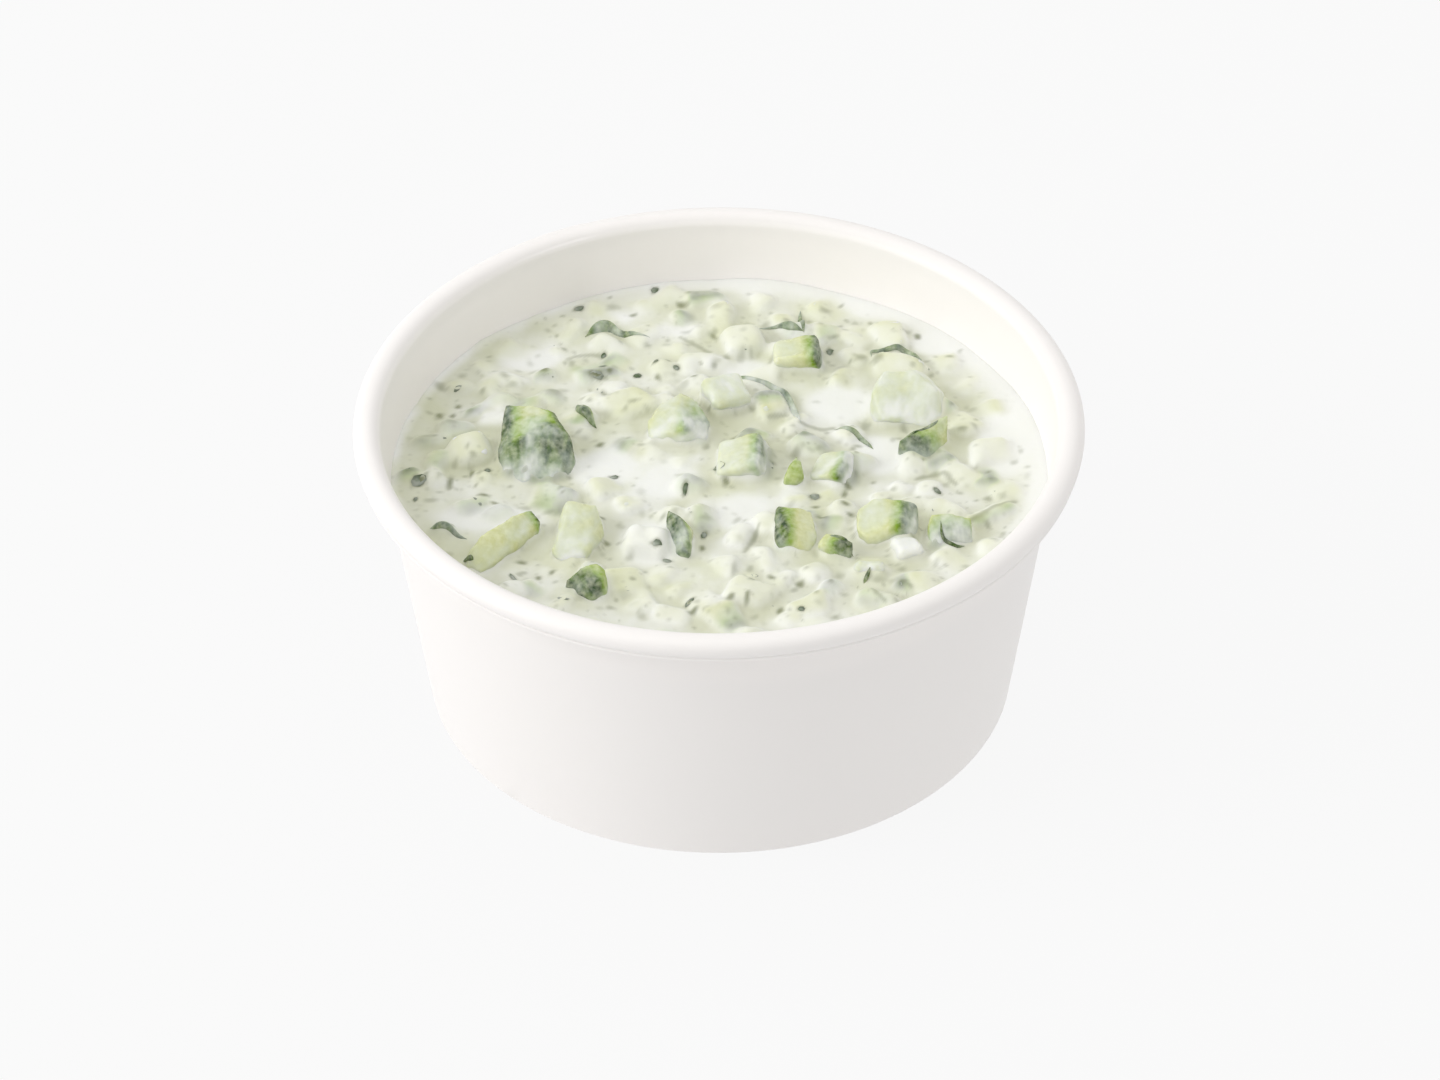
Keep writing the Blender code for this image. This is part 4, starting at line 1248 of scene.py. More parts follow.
class Cream:
    """Height of the cream over a square raster, and how it veils the cucumber under it."""

    step = 0.2 * MM

    def __init__(self, settings, bowl):
        self.edge = wall_inner(bowl, settings.level)
        half = math.ceil((self.edge + 1.0 * MM) / self.step) * self.step
        self.axis = np.arange(-half, half + self.step / 2, self.step)
        self.x, self.y = np.meshgrid(self.axis, self.axis, indexing="ij")
        self.height = self.still(settings)
        self.tint = np.zeros_like(self.x)
        self.depth = np.full_like(self.x, 8.0)
        self.open = np.ones_like(self.x)

    def still(self, settings):
        """The cream before anything stands in it: broad waves, small curds, a rise at the wall."""
        busy = self.business()
        height = settings.level + settings.swell * layered_waves(self.x, self.y, 11 * MM, 3)
        height += settings.curd * busy * layered_waves(self.x, self.y, 3.0 * MM, 21)
        radius = np.hypot(self.x, self.y)
        rise = 0.35 * MM * np.exp(-np.maximum(0.0, self.edge - radius) / (1.4 * MM))
        return height + rise

    def business(self):
        """Where the cream is full of bits, 1, and where it lies as a smooth pool or by the lit wall,
        near 0.
        """
        busy = np.ones_like(self.x)
        for x, y, wide, deep in POOLS:
            far = np.hypot((self.x / MM - x) / wide, (self.y / MM - y) / deep)
            busy *= 0.12 + 0.88 * blend(0.7, 1.3, far)
        gap = self.edge - np.hypot(self.x, self.y)
        # Painted light: by the wall on the lit side the cream is left plainer and smoother, so it shows
        # whiter.
        lit_side = blend(-0.5, 0.3, (self.x + 0.4 * self.y) / self.edge)
        busy *= 1 - 0.85 * lit_side * (1 - blend(1.0 * MM, 4.5 * MM, gap))
        return busy

    def spread(self, field, width):
        """The field blurred by a bell curve of that width."""
        reach = max(1, math.ceil(2.5 * width / self.step))
        steps = np.arange(-reach, reach + 1)
        bell = np.exp(-0.5 * (steps * self.step / width) ** 2)
        bell /= bell.sum()
        for axis in (0, 1):
            padded = np.pad(field, [(reach, reach) if a == axis else (0, 0) for a in (0, 1)], "edge")
            length = field.shape[axis]
            field = sum(
                share * np.take(padded, range(i, i + length), axis) for i, share in enumerate(bell)
            )
        return field

    def widen(self, field, reach):
        """The highest value of the field within reach."""
        cells = round(reach / self.step)
        result = field.copy()
        for i in range(-cells, cells + 1):
            for j in range(-cells, cells + 1):
                if 0 < i * i + j * j <= cells * cells:
                    result = np.maximum(result, np.roll(field, (i, j), (0, 1)))
        return result

    def tops(self, lump):
        """Top of a piece over the raster, and the depth under its peel there."""
        mesh = lump.mesh
        mesh.calc_loop_triangles()
        places = coordinates(mesh)
        faces = [tuple(t.vertices) for t in mesh.loop_triangles]
        tree = BVHTree.FromPolygons([Vector(p) for p in places], faces)
        low = np.searchsorted(self.axis, places.min(0)[:2])
        high = np.searchsorted(self.axis, places.max(0)[:2])
        top = np.full_like(self.x, -1.0)
        hits = []
        cells = []
        down = Vector((0, 0, -1))
        for i in range(max(low[0], 0), min(high[0], len(self.axis))):
            for j in range(max(low[1], 0), min(high[1], len(self.axis))):
                hit = tree.ray_cast(Vector((self.axis[i], self.axis[j], 0.06)), down)[0]
                if hit is not None:
                    top[i, j] = hit.z
                    hits.append(hit[:])
                    cells.append((i, j))
        depth = np.full_like(self.x, 8.0)
        if cells:
            rows, columns = np.array(cells).T
            depth[rows, columns] = lump.cut.depth(np.array(hits)) / MM
        return top, depth

    def lay(self, lumps, settings):
        """Drape the cream over the sunk pieces and let it climb the ones that stand out."""
        cover = self.height.copy()
        stands = np.zeros_like(self.x)
        skyline = np.full_like(self.x, -1.0)
        found = []
        for number, lump in enumerate(lumps):
            top, depth = self.tops(lump)
            found.append((top, depth, lump.drape is None))
            if lump.drape is None:
                stands = np.maximum(stands, top > self.height)
                skyline = np.maximum(skyline, top)
                ragged = layered_waves(self.x, self.y, 2.4 * MM, 300 + number)
                rise = (top - self.height) / MM
                smear = 0.4 * lump.film - 0.14 + 0.45 * ragged - 0.24 * rise
                smeared = top + np.minimum(0.25, smear) * MM
                cover = np.maximum(cover, np.where(top > 0, smeared, -1.0))
                continue
            film = (lump.drape + 0.06) * MM * (1 + 0.7 * waves(self.x, self.y, 1.6 * MM, 50 + number))
            draped = np.where(top > 0, top + film, -1.0)
            cover = np.maximum(cover, self.widen(draped, 0.4 * MM))
        sharp = self.spread(cover, 0.26 * MM)
        soft = self.spread(cover, 0.80 * MM)
        self.height = 0.55 * sharp + 0.45 * soft
        near = self.spread(stands, 0.8 * MM)
        self.height += settings.cling * np.minimum(1.0, 2.0 * near)
        fine = layered_waves(self.x, self.y, 1.3 * MM, 77, 2) * self.business()
        self.height += 0.06 * MM * fine
        for top, depth, bare in found:
            thick = self.height - top
            share = np.where(top > 0, np.exp(-np.maximum(0.0, thick) / (0.42 * MM)), 0.0)
            share *= np.where(thick > 0, 1.0, 0.0) if bare else 1.0
            stronger = share > self.tint
            self.depth = np.where(stronger, depth, self.depth)
            self.tint = np.where(stronger, share, self.tint)
            self.open = np.minimum(self.open, np.where(thick < -0.05 * MM, 0.0, 1.0))
        weight = self.tint + 0.002
        self.depth = self.spread(self.depth * weight, 0.4 * MM) / self.spread(weight, 0.4 * MM)
        self.tint = self.spread(self.tint, 0.38 * MM)
        self.open = self.spread(self.open, 0.25 * MM)
        around = self.spread(self.height, 2.0 * MM)
        gap = self.edge - np.hypot(self.x, self.y)
        # Painted shadow: a band along the left wall, where the wall shades the cream from the key
        # light.
        wall_shadow = blend(0.0, 2.0 * MM, gap) * (1 - blend(2.5 * MM, 7.0 * MM, gap))
        wall_shadow *= np.clip(-1.1 * self.x / self.edge, 0.0, 1.0)
        # Painted shade: darker where the cream lies lower than around it, between the lumps.
        low = np.clip((around - self.height) / (0.45 * MM), 0.0, 1.0) * self.business()
        self.painted_shade = np.clip(low + wall_shadow, 0.0, 1.0)
        self.skyline = self.spread(np.maximum(self.height, skyline), 0.25 * MM)

    def ground(self, x, y):
        """Height of whatever lies uppermost, cream or cucumber."""
        return self.at(self.skyline, x, y)

    def stain(self, x, y, length, width, turn, strength):
        """Darken the cream over one herb fleck in it, softly, in millimetres and radians."""
        reach = 0.8 * length * MM
        low = np.searchsorted(self.axis, (x * MM - reach, y * MM - reach))
        high = np.searchsorted(self.axis, (x * MM + reach, y * MM + reach))
        part = np.s_[low[0]:high[0], low[1]:high[1]]
        across = self.x[part] / MM - x
        back = self.y[part] / MM - y
        along = across * math.cos(turn) + back * math.sin(turn)
        aside = back * math.cos(turn) - across * math.sin(turn)
        far = np.hypot(along / (0.5 * length), aside / (0.5 * width))
        far *= 1 + 0.30 * waves(self.x[part], self.y[part], 0.55 * MM, 700)
        mark = strength * (1 - blend(0.20, 1.45, far))
        self.fleck[part] = np.maximum(self.fleck[part], mark)

    def strew(self, settings):
        """Stain the cream with the herb flecks that lie in it, thickest where it is full of bits."""
        self.fleck = np.zeros_like(self.x)
        for x, y, length, width, turn, group in FLECKS:
            self.stain(x, y, length, width, math.radians(turn), (0.9, 0.75, 0.34)[group])
        for node, points, _, _, film in SLIVERS:
            if node is None and film >= VEILED:
                path = smooth_path(points, 7)
                for (x, y, half), (ahead, aback, _) in zip(path[:-1], path[1:]):
                    length = 2.6 * math.hypot(ahead - x, aback - y)
                    turn = math.atan2(aback - y, ahead - x)
                    self.stain(x, y, length, 1.8 * half, turn, 0.62 - 0.4 * film)
        chance = np.random.default_rng(settings.seed)
        share = self.business() * (0.2 + 0.8 * blend(-0.5, 0.5, layered_waves(
            self.x, self.y, 7 * MM, 91)))
        for _ in range(settings.stains):
            x, y = chance.uniform(-43.5, 43.5, 2)
            length = float(np.clip(chance.lognormal(-0.05, 0.38), 0.5, 2.4))
            width = length * chance.uniform(0.4, 0.85)
            turn = chance.uniform(0, math.pi)
            strength = chance.uniform(0.08, 0.50)
            if math.hypot(x, y) < 43.3 and chance.random() < self.at(share, x * MM, y * MM):
                self.stain(x, y, length, width, turn, strength)

    def at(self, field, x, y):
        """The field's value between the raster's cells."""
        u = np.clip((np.asarray(x) - self.axis[0]) / self.step, 0, len(self.axis) - 1.001)
        v = np.clip((np.asarray(y) - self.axis[0]) / self.step, 0, len(self.axis) - 1.001)
        i = u.astype(int)
        j = v.astype(int)
        u = u - i
        v = v - j
        low = field[i, j] * (1 - u) + field[i + 1, j] * u
        high = field[i, j + 1] * (1 - u) + field[i + 1, j + 1] * u
        return low * (1 - v) + high * v


# Smooth pools between the pieces: place across and back, and half width across and back, in mm.
POOLS = (
    (16.5, 15.5, 5.0, 4.0),
    (22.0, 4.0, 3.6, 4.4),
    (-15.5, 1.0, 4.6, 4.6),
    (-31.0, -9.5, 8.0, 2.6),
    (-6.5, -1.5, 4.2, 4.0),
    (-9.0, -15.0, 4.5, 5.0),
    (3.0, -9.0, 4.0, 4.5),
    (38.5, 6.0, 3.8, 8.0),
    (4.0, 23.0, 3.5, 2.5),
    (-26.0, 26.0, 4.0, 2.5),
    (30.0, 29.0, 3.5, 2.5),
)


def coat(lump, cream):
    """How much cream clings to each vertex of a piece: more near the cream and on top."""
    places = coordinates(lump.mesh)
    above = (places[:, 2] - cream.at(cream.height, places[:, 0], places[:, 1])) / MM
    rise = normals(lump.mesh)[:, 2]
    wet = 0.30 * (1 - blend(-0.1, 0.8, above))
    resting = 0.06 * blend(0.45, 1.0, rise)
    share = 0.85
    if lump.cut.skin:
        share = 0.45 + 0.40 * blend(0.4, 0.8, normals(lump.mesh) @ lump.cut.axes[:, 2])
    store(lump.mesh, "film", np.clip(share * lump.film + wet + resting, 0.0, 1.3))


def disc_grid(count):
    """Even grid over a disc of radius 1: a square grid whose squares are bent into rings."""
    side = np.linspace(-1.0, 1.0, count + 1)
    u, v = np.meshgrid(side, side, indexing="ij")
    wide = np.abs(u) > np.abs(v)
    radius = np.where(wide, u, v)
    safe = np.where(radius == 0, 1.0, radius)
    angle = np.where(wide, math.pi / 4 * v / safe, math.pi / 2 - math.pi / 4 * u / safe)
    return radius * np.cos(angle), radius * np.sin(angle)


def dip_mesh(settings, bowl, cream):
    """The dip as a closed body: its uneven top, its side just inside the wall, a flat underside."""
    count = settings.cells
    x, y = disc_grid(count)
    top_radius = cream.edge + settings.reach
    x = x.ravel() * top_radius
    y = y.ravel() * top_radius
    z = cream.at(cream.height, x, y)
    number = np.arange((count + 1) ** 2).reshape(count + 1, count + 1)
    rim = np.concatenate([number[:-1, 0], number[-1, :-1], number[:0:-1, -1], number[0, :0:-1]])
    quads = np.stack([number[:-1, :-1], number[1:, :-1], number[1:, 1:], number[:-1, 1:]], -1)
    faces = quads.reshape(-1, 4).tolist()
    angle = np.arctan2(y[rim], x[rim])
    wall = wall_inner(bowl, z[rim]) + settings.reach
    x[rim] = wall * np.cos(angle)
    y[rim] = wall * np.sin(angle)
    places = [np.stack([x, y, z], 1)]
    floor = DIP_LOW.z
    rings = 6
    total = len(z)
    above = rim
    for ring in range(1, rings + 1):
        share = ring / rings
        height = z[rim] * (1 - share) + floor * share
        radius = wall_inner(bowl, height) + settings.reach * (1 - share)
        places.append(np.stack([radius * np.cos(angle), radius * np.sin(angle), height], 1))
        below = np.arange(total, total + len(rim))
        faces += np.stack([above, below, np.roll(below, -1), np.roll(above, -1)], -1).tolist()
        total += len(rim)
        above = below
    places.append(np.array([[0.0, 0.0, floor]]))
    faces += [(int(b), int(a), total) for a, b in zip(above, np.roll(above, -1))]
    mesh = bpy.data.meshes.new("dip")
    mesh.from_pydata(np.concatenate(places).tolist(), [], faces)
    mesh.validate()
    mesh.shade_smooth()
    mesh.set_sharp_from_angle(angle=math.radians(60))
    rest = total + 1 - len(z)
    # Among these goes the painted shade of the hollows and of the shaded left wall.
    for name, field in (
        ("tint", cream.tint), ("peel_depth", cream.depth), ("painted_shade", cream.painted_shade),
        ("busy", cream.business()), ("fleck", cream.fleck),
    ):
        store(mesh, name, np.concatenate([cream.at(field, x, y), np.zeros(rest)]))
    away = blend(0.0, 1.2 * MM, top_radius - np.hypot(x, y))
    clusters = blend(-0.45, 0.55, layered_waves(x, y, 6.5 * MM, 91))
    share = cream.at(cream.open * cream.business(), x, y) * away * (0.25 + 0.75 * clusters)
    store(mesh, "fleck_share", np.concatenate([share, np.zeros(rest)]))
    return mesh


class TZATZIKI_OT_dip(bpy.types.Operator):
    """Make the cucumber pieces and the cream that runs round and over them"""

    bl_idname = "tzatziki.dip"
    bl_label = "Cream and cucumber"

    def execute(self, context):
        settings = context.scene.tzatziki_dip
        bowl = context.scene.tzatziki_bowl
        cucumber = context.scene.tzatziki_cucumber
        dice = cut_dice(cucumber, settings.level)
        rows = [*SUNK, *chance_dice(cucumber, dice)]
        sunk = sink_dice(cucumber, bowl, settings.level, rows)
        cream = Cream(settings, bowl)
        cream.lay([*dice.values(), *sunk], settings)
        cream.strew(context.scene.tzatziki_herbs)
        flesh = cucumber_material(cucumber, settings.colour)
        for node, lump in dice.items():
            coat(lump, cream)
            lump.mesh.shade_smooth()
            slot = "cucumber_peel" if lump.cut.skin else "cucumber_flesh"
            add_piece(node.replace("cucumber_", "cut_"), lump.mesh, flesh, slot, node)
        for lump in sunk:
            coat(lump, cream)
        add_piece("sunk_dice", join([lump.mesh for lump in sunk], "sunk_dice"), flesh,
                  "cucumber_flesh")
        loose = []
        for number, (short_name, points, thick, lean, film) in enumerate(SLIVERS):
            if short_name is None and film >= VEILED:
                continue
            mesh = sliver_mesh(points, thick, lean, cream.ground, 300 + number)
            store(mesh, "film", np.full(len(mesh.vertices), film))
            if short_name:
                add_piece("cut_" + short_name, mesh, flesh, "cucumber_peel", "cucumber_" + short_name)
            else:
                loose.append(mesh)
        add_piece("peel_slivers", join(loose, "peel_slivers"), flesh, "cucumber_peel")
        sauce = cream_material(settings, cucumber)
        add_piece("dip_cream", dip_mesh(settings, bowl, cream), sauce, "cream", "dip")
        return {"FINISHED"}


# ---------------------------------------------------------------- herbs


def leaf_bit(name, length, width, bend, corners, seed):
    """One fleck of chopped leaf, lying flat about its middle: a thin closed plate."""
    chance = random.Random(seed)
    thick = 0.06
    work = bmesh.new()
    rings = []
    for height in (-thick / 2, thick / 2):
        ring = []
        for corner in range(corners):
            angle = math.tau * corner / corners
            stray = chance.uniform(0.78, 1.12)
            x = length / 2 * math.cos(angle) * stray
            y = width / 2 * math.sin(angle) * stray
            ring.append(work.verts.new((x, y + bend * x * x, height * (1 - abs(x) / length))))
        rings.append(ring)
        chance = random.Random(seed)
    for i in range(corners):
        j = (i + 1) % corners
        work.faces.new((rings[0][i], rings[0][j], rings[1][j], rings[1][i]))
    work.faces.new(rings[1])
    work.faces.new(reversed(rings[0]))
    bmesh.ops.recalc_face_normals(work, faces=work.faces)
    mesh = bpy.data.meshes.new(name)
    work.to_mesh(mesh)
    work.free()
    return new_holder(name, mesh)


def scatter_tree():
    """Geometry Nodes tree that scatters leaf bits over a surface, lying on it, each turned."""
    tree = bpy.data.node_groups.new("Scattered herbs", "GeometryNodeTree")
    face = tree.interface
    face.new_socket("Geometry", in_out="INPUT", socket_type="NodeSocketGeometry")
    face.new_socket("Bits", in_out="INPUT", socket_type="NodeSocketCollection")
    face.new_socket("Density", in_out="INPUT", socket_type="NodeSocketFloat")
    face.new_socket("Size", in_out="INPUT", socket_type="NodeSocketFloat")
    face.new_socket("Sink", in_out="INPUT", socket_type="NodeSocketFloat")
    face.new_socket("Seed", in_out="INPUT", socket_type="NodeSocketInt")
    face.new_socket("Material", in_out="INPUT", socket_type="NodeSocketMaterial")
    face.new_socket("Geometry", in_out="OUTPUT", socket_type="NodeSocketGeometry")
    given = add_node(tree, "NodeGroupInput").outputs
    share = add_node(tree, "GeometryNodeInputNamedAttribute", {"Name": "fleck_share"}).outputs[0]
    local = add_node(tree, "ShaderNodeMath", {0: share, 1: given["Density"]}, operation="MULTIPLY")
    points = add_node(tree, "GeometryNodeDistributePointsOnFaces", {
        "Mesh": given["Geometry"], "Density": local.outputs[0], "Seed": given["Seed"],
    })
    spin = add_node(tree, "FunctionNodeRandomValue", {
        2: 0.0, 3: math.tau, "ID": add_node(tree, "GeometryNodeInputIndex").outputs[0],
        "Seed": given["Seed"],
    }, data_type="FLOAT")
    axis_turn = add_node(tree, "FunctionNodeAxisAngleToRotation", {
        "Axis": (0, 0, 1), "Angle": spin.outputs[1],
    })
    turned = add_node(tree, "FunctionNodeRotateRotation", {
        0: points.outputs["Rotation"], 1: axis_turn.outputs[0],
    }, rotation_space="LOCAL")
    grown = add_node(tree, "FunctionNodeRandomValue", {2: 0.45, 3: 1.5, "Seed": 3},
                     data_type="FLOAT")
    size = add_node(tree, "ShaderNodeMath", {0: grown.outputs[1], 1: given["Size"]},
                    operation="MULTIPLY")
    bits = add_node(tree, "GeometryNodeCollectionInfo", {
        "Collection": given["Bits"], "Separate Children": True, "Reset Children": True,
    })
    placed = add_node(tree, "GeometryNodeInstanceOnPoints", {
        "Points": points.outputs["Points"], "Instance": bits.outputs[0], "Pick Instance": True,
        "Rotation": turned.outputs[0], "Scale": size.outputs[0],
    })
    down = add_node(tree, "ShaderNodeMath", {0: given["Sink"], 1: -1.0}, operation="MULTIPLY")
    offset = add_node(tree, "ShaderNodeCombineXYZ", {2: down.outputs[0]})
    lowered = add_node(tree, "GeometryNodeTranslateInstances", {
        "Instances": placed.outputs[0], "Translation": offset.outputs[0], "Local Space": False,
    })
    real = add_node(tree, "GeometryNodeRealizeInstances", {"Geometry": lowered.outputs[0]})
    painted = add_node(tree, "GeometryNodeSetMaterial", {
        "Geometry": real.outputs[0], "Material": given["Material"],
    })
    add_node(tree, "NodeGroupOutput", {0: painted.outputs[0]})
    return tree


# Flecks that stand out: place across and back, length and width in millimetres, turn in degrees,
# and how deep they lie: 0 on the cream, 1 just in it, 2 veiled by it.
FLECKS = (
    (-19.3, 37.8, 1.7, 1.2, 20, 0), (-8.8, 41.8, 1.5, 1.2, 70, 0), (-5.0, 38.2, 1.9, 1.0, -15, 1),
    (-11.8, 36.0, 1.2, 0.8, 40, 1), (-14.6, 38.0, 2.4, 1.6, 20, 2), (-11.1, 22.1, 1.4, 1.1, 10, 0),
    (-8.6, 24.1, 1.0, 0.8, 60, 0), (-6.9, 24.5, 1.2, 0.7, -40, 1), (-5.8, 22.9, 1.3, 0.9, -70, 0),
    (-8.4, 21.2, 1.3, 0.9, -50, 1), (-3.4, 20.7, 1.0, 0.9, 0, 1), (-16.6, 21.0, 2.3, 1.3, 0, 0),
    (-15.8, 26.8, 1.3, 0.9, 70, 0), (-15.9, 23.6, 1.2, 0.8, 30, 0), (-14.9, 22.3, 1.4, 0.9, 80, 1),
    (-23.8, 22.4, 1.7, 1.2, 60, 1), (-22.4, 17.6, 2.6, 1.7, 60, 2), (-28.2, 19.8, 1.6, 1.0, 0, 2),
    (-35.6, 15.8, 1.4, 0.9, 70, 1), (-38.1, 13.4, 1.6, 1.1, 90, 1), (-36.2, 13.4, 1.4, 0.8, 80, 1),
    (-34.0, 13.6, 1.8, 1.0, 60, 2), (-39.4, 8.4, 1.6, 1.3, 20, 2), (-31.2, 0.9, 1.0, 0.9, 0, 0),
    (-33.3, 0.2, 2.0, 0.9, 80, 1), (-40.4, -1.6, 2.6, 1.9, 30, 0), (-40.8, -5.0, 1.2, 0.6, 70, 0),
    (-36.2, -1.6, 3.0, 0.9, 85, 1), (-37.7, -1.0, 1.6, 0.9, 80, 2), (-31.6, -4.7, 2.0, 1.1, -10, 1),
    (-30.1, -6.4, 1.3, 0.7, -30, 1), (-26.0, -7.2, 2.0, 1.2, 0, 2), (-14.2, -0.8, 1.5, 1.0, 20, 0),
    (-4.6, -4.4, 1.6, 0.8, 80, 0), (-16.1, 6.6, 1.4, 0.9, 50, 1), (-13.0, 5.6, 2.4, 1.0, 80, 2),
    (-15.8, -9.8, 1.2, 0.9, 0, 1), (-15.0, -15.2, 1.3, 1.0, 30, 1), (-9.1, -9.4, 1.0, 0.8, 60, 2),
    (-8.3, -17.2, 1.5, 1.2, 20, 0), (-7.0, -19.0, 1.4, 0.7, -10, 0), (-2.1, -13.8, 1.2, 0.8, 60, 0),
    (-2.3, -16.4, 1.6, 0.8, 80, 1), (0.0, -0.2, 2.0, 1.3, -40, 0), (0.9, -2.2, 1.4, 1.0, -50, 1),
    (1.3, -28.4, 1.5, 1.0, 10, 1), (3.6, -28.4, 1.6, 0.7, 80, 1), (-4.0, -28.2, 2.2, 0.8, 52, 0),
    (-3.5, -30.1, 1.6, 1.0, 40, 1), (6.9, -23.2, 1.7, 1.0, -60, 1), (4.4, -24.4, 1.4, 0.9, 30, 1),
    (10.6, -24.2, 1.5, 1.1, 30, 1), (7.8, -29.7, 1.6, 0.9, 70, 1), (10.7, -30.3, 1.1, 0.9, 0, 0),
    (-27.4, -22.2, 2.2, 0.6, -62, 0), (-24.0, -22.3, 1.3, 0.8, -60, 1), (-22.2, -21.2, 1.4, 0.8, 60, 1),
    (-26.3, -19.0, 1.6, 0.9, 0, 1), (-22.8, -8.3, 1.8, 0.8, 0, 2), (12.8, -5.2, 1.7, 1.3, -30, 0),
    (12.9, -7.4, 1.0, 0.7, 0, 1), (16.9, -8.0, 1.1, 0.9, 0, 1), (17.5, -9.8, 1.1, 1.0, 0, 1),
    (13.8, -10.2, 1.9, 0.8, -30, 1), (16.8, -4.7, 1.3, 0.9, 60, 1), (17.2, -3.4, 1.2, 0.8, -40, 1),
    (29.2, -4.7, 1.4, 1.0, -40, 0), (22.6, -6.6, 1.4, 0.7, 60, 1), (16.9, 3.4, 1.3, 0.7, 80, 0),
    (15.3, 27.2, 1.8, 1.1, 80, 0), (16.8, 23.4, 2.4, 1.0, 40, 2), (18.9, 34.2, 1.3, 1.0, 0, 2),
    (27.5, 30.6, 1.6, 1.0, -70, 1), (26.0, 31.4, 1.6, 0.9, 30, 2), (29.0, 18.8, 2.4, 1.7, 0, 2),
    (23.5, 7.4, 1.2, 0.9, 80, 2), (34.6, 9.0, 1.6, 0.9, -40, 2), (40.8, 4.4, 1.2, 0.8, 80, 2),
    (39.8, 2.0, 1.6, 1.0, 60, 2), (41.6, 1.0, 1.0, 0.8, 0, 2), (36.4, -15.6, 1.8, 1.0, -40, 2),
    (32.6, -20.6, 1.3, 0.8, 10, 2), (28.6, -20.4, 1.6, 0.9, 70, 2), (32.6, -12.0, 1.5, 0.8, 20, 1),
    (-7.0, 30.0, 1.2, 0.8, 80, 2), (-0.7, 30.6, 2.2, 0.9, -60, 1), (-0.4, 42.0, 1.2, 0.8, 0, 2),
    (2.4, -10.2, 2.0, 1.0, 60, 2), (1.9, -21.8, 2.6, 0.8, 80, 2), (4.0, -20.8, 1.6, 0.9, 80, 2),
)


def fleck_bits(cream_top, shapes):
    """The dark flecks that lie on the cream, each a thin plate pressed into it."""
    meshes = []
    for number, (x, y, length, width, turn, group) in enumerate(FLECKS):
        if group:
            continue
        mesh = shapes[number % len(shapes)].data.copy()
        places = coordinates(mesh)
        span = np.ptp(places, axis=0)
        places *= np.array((0.85 * length / span[0], 0.85 * width / span[1], 0.14 / span[2])) * MM
        angle = math.radians(turn)
        across = places[:, 0] * math.cos(angle) - places[:, 1] * math.sin(angle) + x * MM
        back = places[:, 0] * math.sin(angle) + places[:, 1] * math.cos(angle) + y * MM
        height = places[:, 2] - places[:, 2].min() + cream_top(across, back) - 0.07 * MM
        set_coordinates(mesh, np.stack([across, back, height], 1))
        meshes.append(mesh)
    return meshes


def surface_of(*names):
    """A function giving the height of the uppermost of some pieces under a place."""
    trees = []
    for name in names:
        piece = bpy.data.objects.get(name)
        if piece:
            trees.append(BVHTree.FromObject(piece, bpy.context.evaluated_depsgraph_get()))
    down = Vector((0, 0, -1))

    def height(x, y):
        result = []
        for a, b in zip(x, y):
            hits = [tree.ray_cast(Vector((a, b, 0.06)), down)[0] for tree in trees]
            result.append(max((hit.z for hit in hits if hit is not None), default=0.0))
        return np.array(result)
    return height


class TZATZIKI_OT_herbs(bpy.types.Operator):
    """Scatter chopped herbs over the cream, some lying on it and some veiled by it"""

    bl_idname = "tzatziki.herbs"
    bl_label = "Chopped herbs"

    def execute(self, context):
        settings = context.scene.tzatziki_herbs
        cream = context.scene.tzatziki_dip.colour
        dip = bpy.data.objects.get("dip_cream")
        if dip is None:
            raise RuntimeError("make the cream first: the herbs lie on it")
        bits = bpy.data.collections.new("leaf_bits")
        shapes = (
            (1.3, 0.62, 0.10, 8), (1.0, 0.75, 0.0, 7), (0.8, 0.68, 0.0, 7), (1.7, 0.5, -0.14, 8),
            (1.15, 0.5, 0.2, 8), (0.65, 0.55, 0.0, 6),
        )
        holders = []
        for number, (length, width, bend, corners) in enumerate(shapes):
            holder = leaf_bit(f"leaf_bit_{number}", length, width, bend, corners, number)
            context.scene.collection.objects.unlink(holder)
            bits.objects.link(holder)
            holders.append(holder)
        standing = [piece.name for piece in bpy.data.objects if piece.name.startswith("cut_chunk")]
        chosen = fleck_bits(surface_of("dip_cream", *standing), holders)
        kinds = (
            ("herb_flecks", 0.15, 0.22, 0.80, chosen),
            ("herb_flecks_wet", 0.35, 0.35, 1.0, []),
        )
        for step, (name, veil, many, scale, more) in enumerate(kinds):
            material = herb_material(name.replace("_", " "), settings.colour, cream, veil)
            mesh = run_tree(new_holder(name, dip.data.copy()), scatter_tree(), {
                "Bits": bits, "Density": settings.density * many, "Size": settings.size * scale,
                "Sink": 0.05 * MM, "Seed": settings.seed + step, "Material": material,
            })
            for attribute in [a.name for a in mesh.attributes if a.name in (
                    "fleck_share", "tint", "peel_depth", "painted_shade", "busy", "fleck")]:
                mesh.attributes.remove(mesh.attributes[attribute])
            add_piece(name, join([mesh, *more], name), material, "cucumber_peel")
        for holder in holders:
            bpy.data.objects.remove(holder)
        bpy.data.collections.remove(bits)
        return {"FINISHED"}


# ---------------------------------------------------------------- stage


def add_light(name, power, size, place, aim, colour):
    """A soft square light that faces a point."""
    data = bpy.data.lights.new(name, "AREA")
    data.energy = power
    data.shape = "SQUARE"
    data.size = size
    data.color = colour
    light = bpy.data.objects.new(name, data)
    light.location = place
    light.rotation_euler = (Vector(aim) - Vector(place)).to_track_quat("-Z", "Y").to_euler()
    bpy.context.scene.collection.objects.link(light)
    return light


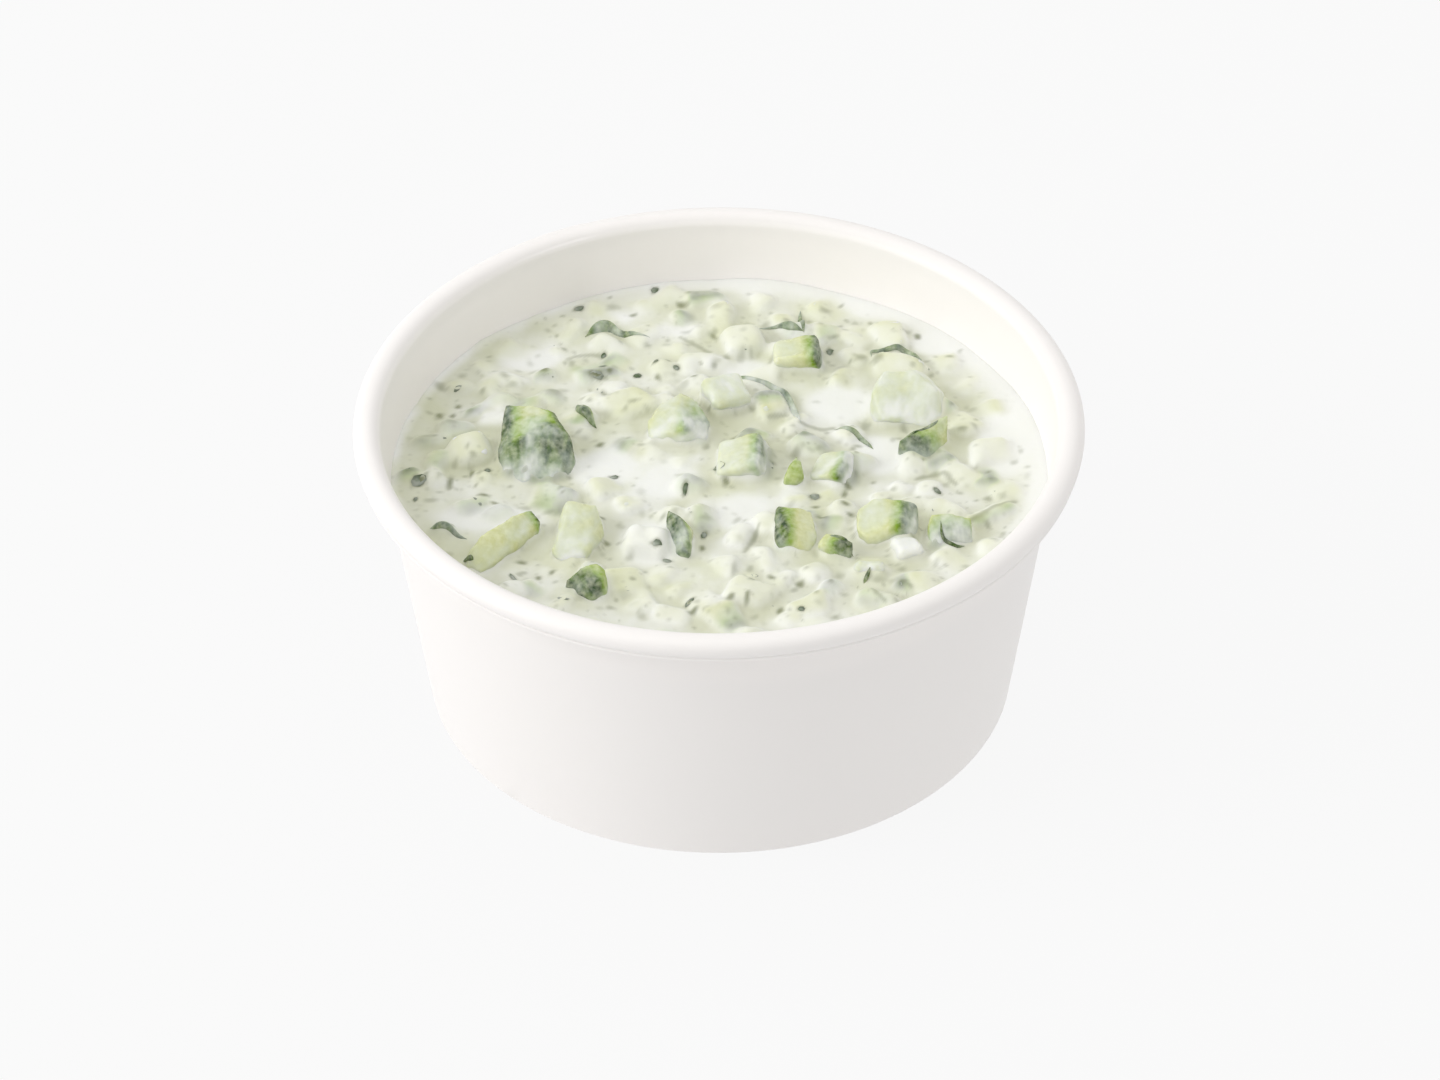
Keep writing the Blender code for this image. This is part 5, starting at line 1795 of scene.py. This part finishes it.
class TZATZIKI_OT_stage(bpy.types.Operator):
    """Set the floor, the soft studio light and the camera"""

    bl_idname = "tzatziki.stage"
    bl_label = "Stage"

    def execute(self, context):
        settings = context.scene.tzatziki_stage
        scene = context.scene
        work = bmesh.new()
        bmesh.ops.create_grid(work, x_segments=1, y_segments=1, size=3.0)
        mesh = bpy.data.meshes.new("floor")
        work.to_mesh(mesh)
        work.free()
        mesh.materials.append(shooting_table_material())
        floor = bpy.data.objects.new("floor", mesh)
        scene.collection.objects.link(floor)
        middle = Vector((0.00005, 0.0, 0.0218))
        look = settings.elevation
        back = Vector((0.0, -math.cos(look), math.sin(look)))
        data = bpy.data.cameras.new("camera")
        data.sensor_width = 36.0
        data.lens = settings.lens
        data.clip_start = 0.05
        camera = bpy.data.objects.new("camera", data)
        camera.rotation_mode = "QUATERNION"
        camera.location = middle + back * settings.distance
        turn = Quaternion((0, 0, 1), settings.roll)
        camera.rotation_quaternion = (-back).to_track_quat("-Z", "Y") @ turn
        scene.collection.objects.link(camera)
        scene.camera = camera
        white = (1.0, 0.995, 0.99)
        add_light("key", settings.key, 0.5, (-0.74, -0.16, 0.44), (0, 0, 0.03), white)
        add_light("top", settings.top, 1.2, (0.0, 0.1, 1.1), (0, 0, 0.03), white)
        world = bpy.data.worlds.new("soft fill")
        scene.world = world
        world.use_nodes = True
        sky = world.node_tree.nodes["Background"]
        sky.inputs["Color"].default_value = linear("#FFFFFE")
        sky.inputs["Strength"].default_value = settings.fill
        scene.view_settings.view_transform = "Standard"
        return {"FINISHED"}


class TZATZIKI_PT_panel(bpy.types.Panel):
    """Lists the settings and what can be made"""

    bl_idname = "TZATZIKI_PT_panel"
    bl_label = "Tzatziki"
    bl_space_type = "VIEW_3D"
    bl_region_type = "UI"
    bl_category = "Tzatziki"

    def draw(self, context):
        for operator, groups in STEPS:
            box = self.layout.box()
            box.operator(operator.bl_idname)
            for group in groups:
                settings = getattr(context.scene, group)
                for name in settings.__annotations__:
                    box.prop(settings, name)


STEPS = (
    (TZATZIKI_OT_bowl, ("tzatziki_bowl",)),
    (TZATZIKI_OT_dip, ("tzatziki_dip", "tzatziki_cucumber")),
    (TZATZIKI_OT_herbs, ("tzatziki_herbs",)),
    (TZATZIKI_OT_stage, ("tzatziki_stage",)),
)
GROUPS = {
    "tzatziki_bowl": BowlSettings,
    "tzatziki_dip": DipSettings,
    "tzatziki_cucumber": CucumberSettings,
    "tzatziki_herbs": HerbSettings,
    "tzatziki_stage": StageSettings,
}
CLASSES = (*GROUPS.values(), *(operator for operator, _ in STEPS), TZATZIKI_PT_panel)


def register():
    for kind in CLASSES:
        bpy.utils.register_class(kind)
    for name, kind in GROUPS.items():
        setattr(bpy.types.Scene, name, PointerProperty(type=kind))


def unregister():
    for name in GROUPS:
        delattr(bpy.types.Scene, name)
    for kind in reversed(CLASSES):
        bpy.utils.unregister_class(kind)


def main():
    """Make every piece in order."""
    register()
    bpy.ops.tzatziki.bowl()
    bpy.ops.tzatziki.dip()
    bpy.ops.tzatziki.herbs()
    bpy.ops.tzatziki.stage()


if __name__ == "__main__":
    main()
